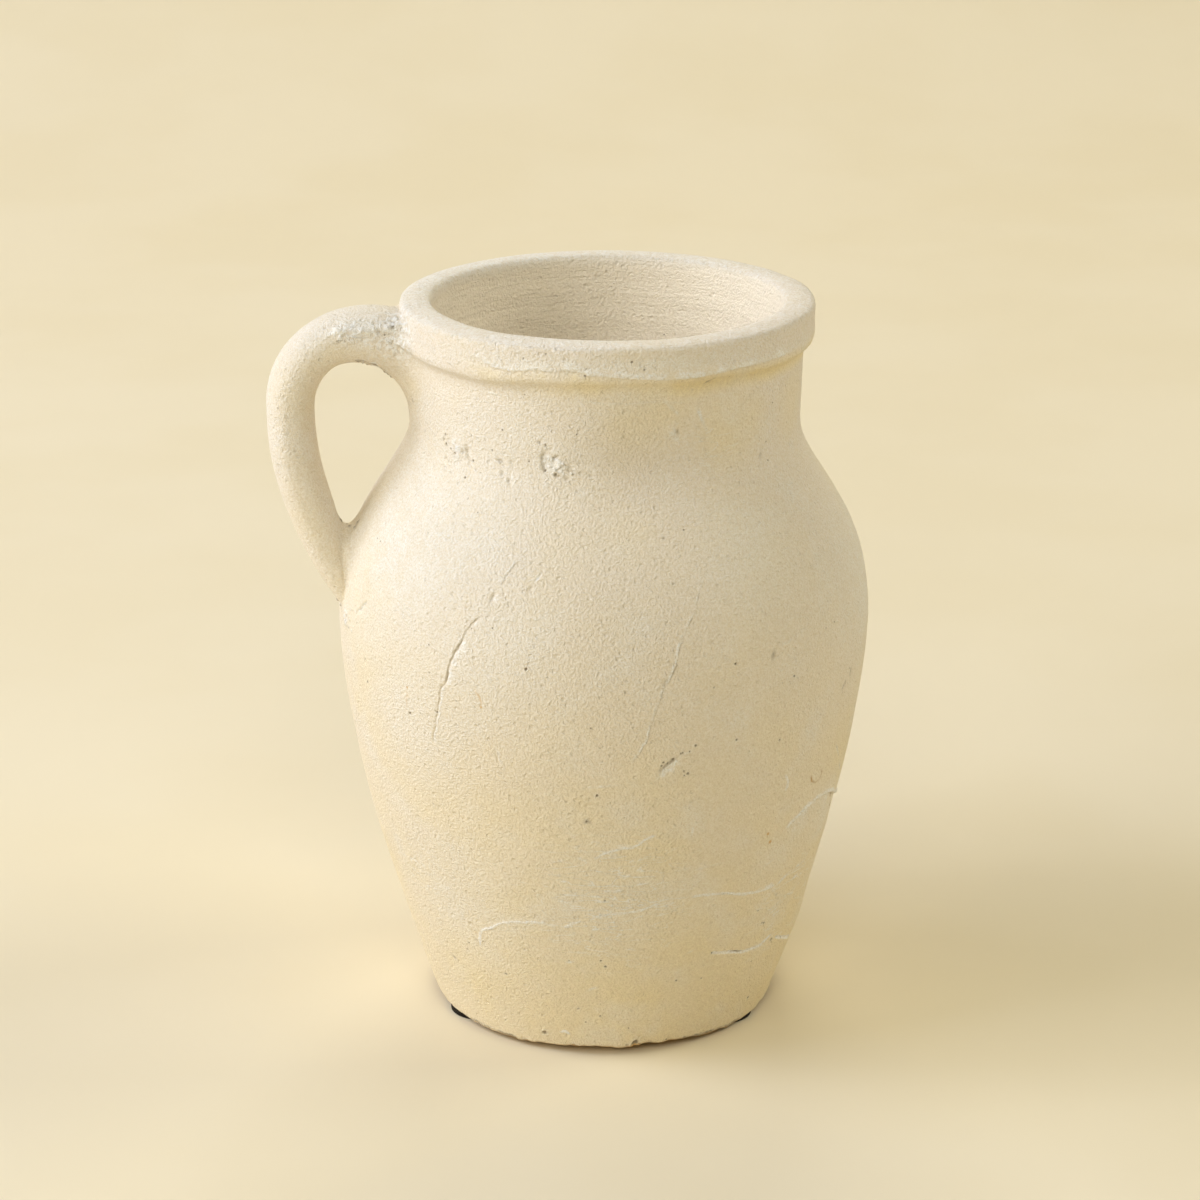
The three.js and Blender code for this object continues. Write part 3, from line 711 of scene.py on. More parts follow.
def unevenness(points):
    """Offsets that make the true shape hand-made, the same for every clay piece, so joints stay closed."""
    offsets = np.zeros_like(points)
    for length, height in HAND_WAVES:
        offsets += height * np.array([noise.noise_vector(Vector(point) / length) for point in points])
    turn = turns_of(points)
    height = points[:, 2]
    out = np.hypot(points[:, 0] - AXIS_X, points[:, 1])
    away = np.stack([points[:, 0] - AXIS_X, points[:, 1], 0 * out], axis=1) / np.maximum(out, MM)[:, None]
    near = 1 - smooth((out - NECK_RADIUS - BAND_OVERHANG - 3 * MM) / LEAN_FADE)
    leaning = LEAN * near * np.clip((height - LEAN_FROM) / (MOUTH_Z - LEAN_FROM), 0, 1) ** 2
    offsets += leaning[:, None] * np.array(LEAN_TOWARDS)
    for full_turn, full_height, half_width, half_height, rise in FULL_PLACES:
        full = window(turn, full_turn, half_width) * window(height, full_height * MM, half_height * MM)
        offsets += (rise * MM * full * (out > 0.6 * BASE_RADIUS))[:, None] * away
    low = window(height, BASE_Z, SAG_HEIGHT) * smooth((out - 0.72 * BASE_RADIUS) / (0.2 * BASE_RADIUS))
    for sag_turn, half_width, drop in SAGS:
        offsets[:, 2] -= drop * MM * low * window(turn, sag_turn, half_width)
    edge = window(height, BASE_Z, EDGE_HEIGHT) * smooth((out - 0.9 * BASE_RADIUS) / (0.1 * BASE_RADIUS))
    offsets[:, 2] += RAGGED_EDGE * edge * waver(points, EDGE_LENGTH, 3)
    wave = sum(size * np.sin(count * np.radians(turn) + start) for count, size, start in BAND_WAVES)
    band = window(height, MOUTH_Z - 0.7 * BAND_HEIGHT, 0.5 * BAND_HEIGHT) * near * (out > NECK_RADIUS - MM)
    offsets[:, 2] += BAND_WANDER * band * wave
    inside = (out < NECK_RADIUS - 0.4 * WALL) & (height > 0.5 * MOUTH_Z)
    slant = RING_SLANT * out * np.sin(np.radians(turn))
    rings = np.sin(2 * math.pi * (height + slant) / RING_PITCH)
    offsets += (RING_DEPTH * inside * rings)[:, None] * away
    return offsets


def profile(side, knots):
    """A section's values at distances beside its middle."""
    offsets, values = np.array(knots, float).T
    return np.interp(side, offsets, values, left=0, right=0)


def lay(tint, name, amount, where=slice(None)):
    """Lays a tone on wherever it is stronger than what is there already."""
    tint[name][where] = np.maximum(tint[name][where], amount)


def press(points, normals, line, section, tones, rise, tint):
    """Presses one mark into a surface: adds its rise along the normals and its tones."""
    reach = MM * max(abs(side) for knots in (section, *tones.values()) for side, value in knots)
    boxed = ((points > line.min(axis=0) - reach) & (points < line.max(axis=0) + reach)).all(axis=1)
    chosen = np.flatnonzero(boxed)
    if not len(chosen):
        return
    gaps = points[chosen, None] - line[None]
    nearest = (gaps ** 2).sum(axis=2).argmin(axis=1)
    gap = gaps[np.arange(len(chosen)), nearest]
    ahead = np.gradient(line, axis=0)
    ahead /= np.linalg.norm(ahead, axis=1)[:, None]
    right = np.cross(ahead[nearest], normals[chosen])
    side = np.where(np.sum(gap * right, axis=1) < 0, -1, 1) * np.linalg.norm(gap, axis=1) / MM
    ragged = waver(points[chosen], RAGGED_LENGTH)
    uneven = waver(line[nearest], UNEVEN_LENGTH)
    side = side + RAGGED_SHIFT * ragged
    ends = np.minimum(nearest, len(line) - 1 - nearest) * ROUTE_STEP / MM
    faintest = STEADY_FAINTEST if section in STEADY else FAINTEST
    start, growth = LONG_FADE if section is LEDGE else SHORT_FADE
    strength = np.clip(start + growth * ends, 0, 1) * np.clip(1 + UNEVEN_SHARE * uneven, faintest, STRONGEST)
    for name, knots in tones.items():
        lay(tint, name, profile(side, knots) * strength * (1 + 0.5 * ragged), chosen)
    rise[chosen] += MM * profile(side, section) * strength


def dimple(points, place, radius, depth, dark, rise, tint):
    """One small pit with a ragged outline, low rim and a dark floor of painted shade, or a crumb where depth
    is negative.
    """
    chosen = np.flatnonzero(((points - place) ** 2).sum(axis=1) < (1.8 * radius) ** 2)
    if not len(chosen):
        return
    share = np.linalg.norm(points[chosen] - place, axis=1) / radius
    share *= 1 + RIM_RAGGED * waver(points[chosen], 0.9 * radius)
    floor = np.clip(1 - share ** 2, 0, 1) ** 1.5
    middle = np.minimum(1.5 * floor, 1)
    rise[chosen] += depth * (RIM_RISE * np.exp(-((share - 1.2) / 0.25) ** 2) - floor)
    lay(tint, "grime_and_painted_shade", dark * middle, chosen)
    lay(tint, "chalk_and_painted_highlight", RIM_CHALK * np.exp(-((share - 1.25) / 0.3) ** 2), chosen)
    if depth < 0:
        lay(tint, "chalk_and_painted_highlight", CRUMB_CHALK * (1 - dark) * middle, chosen)


STRAY_MARKS = 11
STRAY_KINDS = [(HAIRLINE, PALE), (RIDGE, FAINT), (CRACK, CRACK_TONE), (SLIVER, FAINT)]
STRAY_PITS = 56
BRUSH_STREAKS = 34
FRONT_STREAKS = 22


def stray_routes(chance):
    """Hairlines, ridges and cracks over the sides that the photograph doesn't show."""
    marks = []
    for number in range(STRAY_MARKS):
        turn = chance.uniform(88, 268)
        height = chance.uniform(25, 175)
        heading = chance.uniform(-1.2, 1.2)
        route = [(turn, height)]
        for step in range(chance.randint(4, 9)):
            heading += chance.uniform(-0.35, 0.35)
            turn += 4.6 * math.cos(heading) * chance.uniform(0.5, 1.1)
            height += 6.4 * math.sin(heading) * chance.uniform(0.5, 1.1)
            route.append((turn, min(max(height, 12), 200)))
        marks.append((route, *chance.choice(STRAY_KINDS)))
    return marks


def brush_streaks(chance):
    """Short level ridges of wash, close together low on the front and sparser elsewhere."""
    marks = []
    for number in range(BRUSH_STREAKS):
        front = number < FRONT_STREAKS
        turn = chance.gauss(-7, 8) if front else chance.uniform(20, 340)
        height = chance.gauss(63, 12) if front else chance.uniform(15, 150)
        length = chance.uniform(2.5, 8)
        slope = chance.uniform(-0.5, 1.0)
        middle = (turn + length / 2, height + slope + chance.uniform(-0.4, 0.4))
        marks.append(([(turn, height), middle, (turn + length, height + 2 * slope)], SLIVER, FAINT))
    return marks


def pot_pits(chance):
    """Every pit of the pot's outside as place, radius, depth and darkness."""
    pits = []
    for turn, height, radius, depth in SINGLE_PITS:
        pits.append((on_pot(turn, height), radius * MM, depth * MM, PIT_DARKNESS))
    for turn, height, radius, dark in POT_CRUMBS:
        pits.append((on_pot(turn, height), radius * MM, -0.5 * radius * MM, dark))
    for route, spread, count, dark in PIT_GROUPS:
        line = route_over(on_pot, route)
        for number in range(count):
            place = Vector(line[chance.randrange(len(line))])
            turn = math.degrees(math.atan2(place.x - AXIS_X, -place.y))
            height = place.z / MM + chance.gauss(0, spread / 2)
            turn += math.degrees(chance.gauss(0, spread / 2) * MM / BELLY_RADIUS)
            radius = chance.uniform(0.3, 0.8)
            pits.append((on_pot(turn, max(height, 3.2)), radius * MM, 0.75 * radius * MM, dark))
    for number in range(STRAY_PITS):
        radius = 0.34 + 0.5 * chance.random() ** 3
        place = on_pot(chance.uniform(-180, 180), chance.uniform(8, 234))
        pits.append((place, radius * MM, 0.65 * radius * MM, chance.uniform(0.1, 0.7)))
    return pits


def split_near(bm, sites, margins, finest):
    """Splits edges near sites, each a place and a width, in rounds that come nearer, for the marks' shape."""
    tree = KDTree(len(sites))
    for index, (site, width) in enumerate(sites):
        tree.insert(site, index)
    tree.balance()
    for margin in margins:
        close = []
        for edge in bm.edges:
            middle = (edge.verts[0].co + edge.verts[1].co) / 2
            place, index, distance = tree.find(middle)
            if distance < sites[index][1] + margin and edge.calc_length() > finest:
                close.append(edge)
        bmesh.ops.subdivide_edges(bm, edges=close, cuts=1, use_grid_fill=True, use_single_edge=True)


def rounded(points):
    """Split points of the pot's outside laid back on its true curve."""
    out = np.hypot(points[:, 0] - AXIS_X, points[:, 1])
    true = pot_radius(points[:, 2])
    outside = (np.abs(out - true) < 0.15 * MM) & (points[:, 2] > BASE_Z + BASE_EDGE)
    outside &= points[:, 2] < OUTSIDE_LINE[-1, 1] - MM
    scale = np.where(outside, true / np.maximum(out, MM), 1)
    laid = points.copy()
    laid[:, 0] = AXIS_X + (points[:, 0] - AXIS_X) * scale
    laid[:, 1] = points[:, 1] * scale
    return laid


TONES = ("chalk_and_painted_highlight", "grime_and_painted_shade", "rust_and_painted_shade", "ochre_and_painted_shade", "streaks", "inside", "rough")
# Tones laid over areas of the pot: turn, height, radius and amount
POT_AREAS = {
    "chalk_and_painted_highlight": [
        (-21, 202, 6, 0.6), (-54, 201, 6, 0.5), (-62, 178, 60, 0.75), (-35, 205, 34, 0.6),
        (-31, 146, 30, 0.6), (-50, 122, 32, 0.5), (-48, 56, 34, 0.4), (-5, 62, 30, 0.45),
        (28, 172, 24, 0.45), (60, 76, 17, 0.55), (74, 150, 40, 0.7),
    ],
    "streaks": [
        (-6, 62, 34, 1), (52, 45, 26, 0.8), (170, 90, 60, 0.7), (-60, 60, 22, 0.5), (25, 205, 14, 0.6),
    ],
    # The ochre areas at heights 211 and 220, under the band, are painted shade beneath its overhang.
    "ochre_and_painted_shade": [
        (32, 211, 17, 0.45), (62, 211, 15, 0.4), (4, 100, 34, 0.4), (3, 220, 19, 0.4), (32, 72, 40, 0.45),
        (-70, 90, 30, 0.2), (150, 60, 45, 0.5), (-140, 110, 40, 0.4), (-100, 160, 24, 0.35),
    ],
    # The grime area under the band's front is painted shade.
    "grime_and_painted_shade": [(-4, 210, 22, 0.1)],
    "rough": [(-62, 178, 10, 0.12)],
}


def apart(points, place, radius):
    """Distances from a place as shares of a radius in millimetres."""
    return np.linalg.norm(points - np.array(place), axis=1) / (radius * MM)


# Crumbs in the crotches of the two joints: place in millimetres, radius, darkness
JOINT_CRUMBS = [
    ((-74.6, -0.5, 167.8), 0.9, 0.9), ((-72.6, 1.1, 166.1), 0.8, 0.7), ((-71.8, -1.2, 166.1), 1.0, 0.9),
    ((-70.2, -4.2, 166.6), 0.9, 0.8), ((-69.3, -2.9, 167.7), 0.8, 0.9), ((-75.2, -0.9, 169), 0.7, 0.6),
    ((-52.6, -7.9, 210.6), 0.9, 0.1), ((-51.4, -11, 210.3), 1.0, 0.7), ((-50.8, -13, 211.2), 0.9, 0),
    ((-51.6, -9.4, 208.7), 0.8, 0.1),
]


def strap_marks():
    """Ridge, lines, pits and crumbs of the handle, most of them near its upper root."""
    ridge = [(-60, 0.31), (-60, 0.286), (-63, 0.265), (-70, 0.24), (-66, 0.217), (-58, 0.194), (-46, 0.169)]
    lines = [
        (ridge, [(-2.4, 0), (-0.8, 0.35), (0, 0.6), (0.8, 0.1), (2.0, 0)],
         {"chalk_and_painted_highlight": [(-1.8, 0), (0, 2), (1.4, 0)]}),
        # The grime in this gouge is painted shade in its hollow.
        ([(-136, 0.247), (-144, 0.22), (-151, 0.18), (-155, 0.139)], GOUGE,
         {"grime_and_painted_shade": [(-0.9, 0), (0, 0.9), (0.9, 0)], "rough": [(-2, 0), (0, 1), (2, 0)]}),
        ([(-30, 0.15), (-45, 0.145), (-62, 0.15)], NICK, FAINT),
        ([(-88, 0.2), (-80, 0.17), (-86, 0.145)], HAIRLINE, PALE),
    ]
    marks = [(route_over(on_strap, route), section, tones) for route, section, tones in lines]
    pits = [(-17, 0.171, 0.8), (-144, 0.247, 1.3), (-160, 0.18, 1.2), (-153, 0.03, 1.2), (-79, 0.491, 0.6),
            (-79, 0.528, 0.6), (-91, 0.568, 0.6), (-147, 0.515, 0.5), (-66, 0.21, 0.8), (-80, 0.185, 0.7),
            (-48, 0.2, 0.7), (-38, 0.3, 0.6), (-96, 0.165, 0.8)]
    crumbs = [(-53, 0.281, 1.2), (-73, 0.279, 0.9), (-63, 0.257, 0.9), (-58, 0.195, 1.3), (-56, 0.171, 0.9),
              (-48, 0.287, 0.8), (-76, 0.256, 0.8), (-70, 0.228, 0.8), (-64, 0.206, 0.8), (-64, 0.171, 0.9),
              (-75, 0.159, 1.0), (-82, 0.151, 0.9), (-68, 0.24, 0.8), (-60, 0.218, 0.7)]
    dark_crumbs = [(-132, 0.252, 0.8), (-136, 0.244, 1.0), (-151, 0.233, 0.7), (-158, 0.218, 0.7),
                   (-165, 0.151, 0.9), (-166, 0.139, 0.9), (-167, 0.124, 0.8), (-31, 0.942, 0.8),
                   (-35, 0.955, 0.9), (-39, 0.963, 0.8), (-79, 0.285, 0.6), (-55, 0.188, 0.6)]
    shaped = [
        (on_strap(angle, share), radius * MM, depth * radius * MM, dark)
        for places, depth, dark in ((pits, 0.4, 0.35), (crumbs, -0.5, 0), (dark_crumbs, -0.6, 0.9))
        for angle, share, radius in places
    ]
    for place, radius, dark in JOINT_CRUMBS:
        shaped.append((Vector(place) * MM, radius * MM, -0.5 * radius * MM, dark))
    return marks, shaped


# Tones laid over areas of the strap: angle, share of its length, radius and amount
STRAP_AREAS = {
    "grime_and_painted_shade": [(180, 0.83, 3, 0.35)],
    "chalk_and_painted_highlight": [(-66, 0.24, 9, 0.9), (-55, 0.15, 13, 0.65), (-20, 0.3, 26, 0.5), (-50, 0.5, 36, 0.45)],
    "ochre_and_painted_shade": [
        (-120, 0.33, 12, 0.5), (-150, 0.45, 14, 0.45), (-120, 0.05, 7, 0.5), (150, 0.5, 20, 0.4),
        (-60, 0.75, 14, 0.25),
    ],
}
AREAS = [
    (name, on_surface(first, second), radius, amount)
    for on_surface, areas in ((on_pot, POT_AREAS), (on_strap, STRAP_AREAS))
    for name, rows in areas.items() for first, second, radius, amount in rows
]
# Crusty places: place and radius
POT_ROUGH_PLACES = [(on_pot(-20, 201), 3.4), (on_pot(-54, 201.5), 4), (on_pot(-80, 140), 4)]
STRAP_ROUGH_PLACES = [
    (on_strap(-62, 0.18), 12), (on_strap(-60, 0.26), 6), (on_strap(-150, 0.2), 7), (on_strap(-30, 0.16), 9),
]
# Height of the crust, and length of its coarse and fine lumps
ROUGHNESS = 0.42 * MM
COARSE_LUMPS = 2.1 * MM
FINE_LUMPS = 1.1 * MM
# Ochre laid under the band, painted shade beneath its overhang, and chalk on it: tone, drop below the
# mouth, half height, turn, half width and amount
BAND_TONES = [
    ("ochre_and_painted_shade", 14, 6, 50, 80, 1.0), ("ochre_and_painted_shade", 13.5, 5.5, 8, 46, 0.8), ("ochre_and_painted_shade", 15, 6, 180, 90, 0.7),
    ("chalk_and_painted_highlight", 6, 5, -10, 62, 0.8), ("chalk_and_painted_highlight", 9, 3, 150, 70, 0.9), ("chalk_and_painted_highlight", 9, 3, -120, 50, 0.8),
]
# Painted yellow bounce light from the floor over the foot, laid as ochre, fading upwards
FOOT_PAINTED_BOUNCE_LIGHT = 0.68
PAINTED_BOUNCE_LIGHT_TOP = 200 * MM
# Painted contact shadow along the cut edge of the base, laid as grime and rust
EDGE_PAINTED_SHADOW_GREY = 0.65
EDGE_PAINTED_SHADOW_BROWN = 0.8
EDGE_PAINTED_SHADOW_TOP = 0.9 * MM
LIP_ROUGHNESS = 0.4
LIP_ROUGH_DEPTH = 3 * MM
# Chalk on the lip, most at the back and towards the handle
LIP_CHALK = 0.8
LIP_CHALK_DEPTH = 4 * MM
LIP_CHALK_TURN = -135


def work_clay(bm, marks, pits):
    """Presses the marks and pits into a piece, lays its tones and gives it its unevenness."""
    bm.normal_update()
    points = np.array([vert.co for vert in bm.verts])
    normals = np.array([vert.normal for vert in bm.verts])
    rise = np.zeros(len(points))
    tint = {name: np.zeros(len(points)) for name in TONES}
    for name, place, radius, amount in AREAS:
        lay(tint, name, amount * smooth(1.15 - apart(points, place, radius)))
    depth = pot_radius(points[:, 2]) - np.hypot(points[:, 0] - AXIS_X, points[:, 1])
    tint["inside"] = smooth((depth - 0.4 * WALL) / (0.4 * WALL)) * (points[:, 2] > 0.5 * MOUTH_Z)
    turn = turns_of(points)
    outside = depth < 0.3 * WALL
    # Ochre under the band is painted shade beneath its overhang.
    for name, drop, half_height, middle, half_width, amount in BAND_TONES:
        around = np.abs((turn - middle + 180) % 360 - 180)
        amount = amount * smooth(1.6 * (1 - around / half_width)) * outside
        lay(tint, name, amount * window(points[:, 2], MOUTH_Z - drop * MM, half_height * MM))
    # Painted yellow bounce light from the floor, laid as ochre over the foot.
    lay(tint, "ochre_and_painted_shade", FOOT_PAINTED_BOUNCE_LIGHT * np.clip(1 - points[:, 2] / PAINTED_BOUNCE_LIGHT_TOP, 0, 1) * outside)
    # Painted contact shadow along the base's edge, laid as grime and rust.
    low = smooth(1 - (points[:, 2] - BASE_Z) / EDGE_PAINTED_SHADOW_TOP) * (1 + waver(points, 5 * MM, 8))
    lay(tint, "grime_and_painted_shade", EDGE_PAINTED_SHADOW_GREY * low)
    lay(tint, "rust_and_painted_shade", EDGE_PAINTED_SHADOW_BROWN * low)
    above_lip = points[:, 2] - MOUTH_Z
    lay(tint, "rough", LIP_ROUGHNESS * smooth(above_lip / LIP_ROUGH_DEPTH + 1))
    lip = smooth(above_lip / LIP_CHALK_DEPTH + 1) * (0.5 + 0.5 * np.cos(np.radians(turn - LIP_CHALK_TURN)))
    lay(tint, "chalk_and_painted_highlight", LIP_CHALK * lip)
    for line, section, tones in marks:
        press(points, normals, line, section, tones, rise, tint)
    for place, radius, depth, dark in pits:
        dimple(points, np.array(place), radius, depth, dark, rise, tint)
    for turn, height, radius in RUST_PLACES:
        lay(tint, "rust_and_painted_shade", smooth(1.4 - apart(points, on_pot(turn, height), radius)))
    for place, radius in POT_ROUGH_PLACES + STRAP_ROUGH_PLACES:
        share = apart(points, place, radius)
        lay(tint, "rough", smooth(1.2 - share))
        near = np.flatnonzero(share < 1)
        lumps = waver(points[near], COARSE_LUMPS, 5) + 0.5 * waver(points[near], FINE_LUMPS, 6)
        rise[near] += ROUGHNESS * smooth(1 - share[near]) * lumps
    points = points + rise[:, None] * normals + unevenness(points)
    layers = {name: bm.verts.layers.float.new(name) for name in TONES}
    for number, vert in enumerate(bm.verts):
        vert.co = points[number]
        for name, layer in layers.items():
            vert[layer] = tint[name][number]
    return bm


def worked_pot():
    """The thrown pot with its marks, pits and stains, with painted shade and highlights among its tones."""
    chance = random.Random(11)
    placed = [(route, section, tones) for section, tones, routes in POT_MARKS for route in routes]
    strays = brush_streaks(chance) + stray_routes(chance)
    marks = [(route_over(on_pot, route), section, tones) for route, section, tones in placed + strays]
    pits = pot_pits(chance)
    sites = []
    for number, (line, section, tones) in enumerate(marks):
        beside = FINE_BESIDE if number < len(placed) else STRAY_BESIDE
        sites += [(Vector(point), beside) for point in line[::SITE_SPACING]]
    sites += [(place, ROUGH_SPLIT * radius * MM) for place, radius in POT_ROUGH_PLACES]
    sites += [(place, radius) for place, radius, depth, dark in pits]
    sites += [(on_pot(turn, height), radius * MM) for turn, height, radius in RUST_PLACES]
    pot = spin_pot()
    split_near(pot, sites, SPLIT_MARGINS, FINEST_EDGE)
    clear_pits = pits[:len(SINGLE_PITS) + len(POT_CRUMBS)]
    sites = [(place, radius) for place, radius, depth, dark in clear_pits]
    for line, section, tones in marks[:len(placed)]:
        if section in CRISP_SECTIONS:
            sites += [(Vector(point), CRISP_BESIDE) for point in line[::CRISP_SPACING]]
    split_near(pot, sites, CRISP_MARGINS, CRISP_EDGE)
    points = rounded(np.array([vert.co for vert in pot.verts]))
    for vert, place in zip(pot.verts, points):
        vert.co = place
    strap_lines, strap_pits = strap_marks()
    return work_clay(pot, marks + strap_lines, pits + strap_pits)


def finished(bm, name, material, slot_name, *nodes):
    """A bmesh as a smooth-shaded piece that stands for CAD nodes and rides on the vase."""
    mesh = bpy.data.meshes.new(name)
    bm.to_mesh(mesh)
    bm.free()
    mesh.polygons.foreach_set("use_smooth", [True] * len(mesh.polygons))
    mesh.materials.append(material)
    piece = bpy.data.objects.new(name, mesh)
    bpy.context.scene.collection.objects.link(piece)
    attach(piece, "root")
    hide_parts(*nodes)
    return piece


def direction(turn, rise):
    """Unit vector at a turn to the left of the front and a rise, both in radians."""
    level = math.cos(rise)
    return Vector((-math.sin(turn) * level, -math.cos(turn) * level, math.sin(rise)))


def photo_camera():
    """The photograph's view: a long lens from the front left, a little above."""
    data = bpy.data.cameras.new("photo_camera")
    data.lens = LENS
    data.sensor_width = SENSOR
    data.shift_x = VIEW_SHIFT
    data.clip_end = 20
    camera = bpy.data.objects.new("photo_camera", data)
    bpy.context.scene.collection.objects.link(camera)
    target = Vector((AXIS_X, 0, VIEW_HEIGHT))
    towards = direction(VIEW_TURN, VIEW_RISE)
    camera.location = target + VIEW_DISTANCE * towards
    camera.rotation_euler = towards.to_track_quat("Z", "Y").to_euler()
    bpy.context.scene.camera = camera


# Colours of the lime wash, its stains and what shows through it; some also carry painted shade, painted
# highlights and painted light inside the mouth
CREAM = (0.87, 0.806, 0.74)
CHALK_AND_PAINTED_HIGHLIGHT_COLOUR = (0.90, 0.875, 0.835)
PAINTED_LIGHT_INSIDE_COLOUR = (0.985, 0.9, 0.765)
SAND_AND_PAINTED_SHADE_COLOUR = (0.70, 0.58, 0.385)
WHITE_AND_PAINTED_HIGHLIGHT_COLOUR = (0.96, 0.95, 0.93)
OCHRE_AND_PAINTED_SHADE_COLOUR = (0.94, 0.797, 0.468)
GRIME_AND_PAINTED_SHADE_COLOUR = (0.32, 0.27, 0.20)
RUST_AND_PAINTED_SHADE_COLOUR = (0.66, 0.43, 0.18)
SPECK = (0.38, 0.30, 0.20)
# Colours of the feet and their glue, clean and dusty
RUBBER = (0.006, 0.004, 0.003)
DUSTY_RUBBER = (0.10, 0.08, 0.055)
AMBER = (0.45, 0.33, 0.16)
DUSTY_AMBER = (0.70, 0.63, 0.52)
# Relief of each finish
WASH_RELIEF = 0.56 * MM
SMEAR_RELIEF = 0.58 * MM
RUBBER_RELIEF = 0.05 * MM
GLUE_RELIEF = 0.15 * MM


def node(tree, kind, inputs=None, **settings):
    """A shader node with its settings, and its inputs as values or as other nodes' outputs."""
    made = tree.nodes.new(kind)
    for name, value in settings.items():
        setattr(made, name, value)
    for key, value in (inputs or {}).items():
        if isinstance(value, bpy.types.NodeSocket):
            tree.links.new(value, made.inputs[key])
        else:
            made.inputs[key].default_value = value
    return made


def clouds(tree, place, scale, detail=2.0, distortion=0.0):
    """Noise between 0 and 1; scale is the number of clouds to the metre."""
    sockets = {"Vector": place, "Scale": scale, "Detail": detail, "Distortion": distortion}
    return node(tree, "ShaderNodeTexNoise", sockets).outputs[0]


def drawn_out(tree, place, turn, scale):
    """Coordinates turned and scaled differently each way, for patterns that run level round the pot."""
    return node(tree, "ShaderNodeMapping", {"Vector": place, "Rotation": turn, "Scale": scale}).outputs[0]


def ramp(tree, value, low, high, start=0.0, end=1.0):
    """A value between low and high taken smoothly to start and end."""
    sockets = {"Value": value, "From Min": low, "From Max": high, "To Min": start, "To Max": end}
    return node(tree, "ShaderNodeMapRange", sockets, interpolation_type="SMOOTHSTEP").outputs[0]


def reckon(tree, how, first, second=0.0):
    """Two values taken together by a named operation."""
    return node(tree, "ShaderNodeMath", {0: first, 1: second}, operation=how).outputs[0]


def times(tree, first, second):
    """The product of two values."""
    return reckon(tree, "MULTIPLY", first, second)


def emboss(tree, skin, height, relief):
    """Relief of a finish, in metres, from a height."""
    bump = node(tree, "ShaderNodeBump", {"Height": height, "Distance": relief, "Strength": 1.0})
    tree.links.new(bump.outputs[0], skin.inputs["Normal"])


def laid_over(tree, share, under, over):
    """One colour laid over another."""
    under, over = (c if isinstance(c, bpy.types.NodeSocket) else (*c, 1) for c in (under, over))
    return node(tree, "ShaderNodeMix", {0: share, 6: under, 7: over}, data_type="RGBA").outputs[2]


def tone(tree, name):
    """A tone as it was laid on the mesh."""
    return node(tree, "ShaderNodeAttribute", attribute_name=name).outputs["Fac"]


def new_finish(name, roughness):
    """An empty material with its tree, its shader and the piece's own coordinates."""
    material = bpy.data.materials.new(name)
    material.use_nodes = True
    tree = material.node_tree
    skin = tree.nodes["Principled BSDF"]
    skin.inputs["Roughness"].default_value = roughness
    return material, tree, skin, node(tree, "ShaderNodeTexCoord").outputs["Object"]


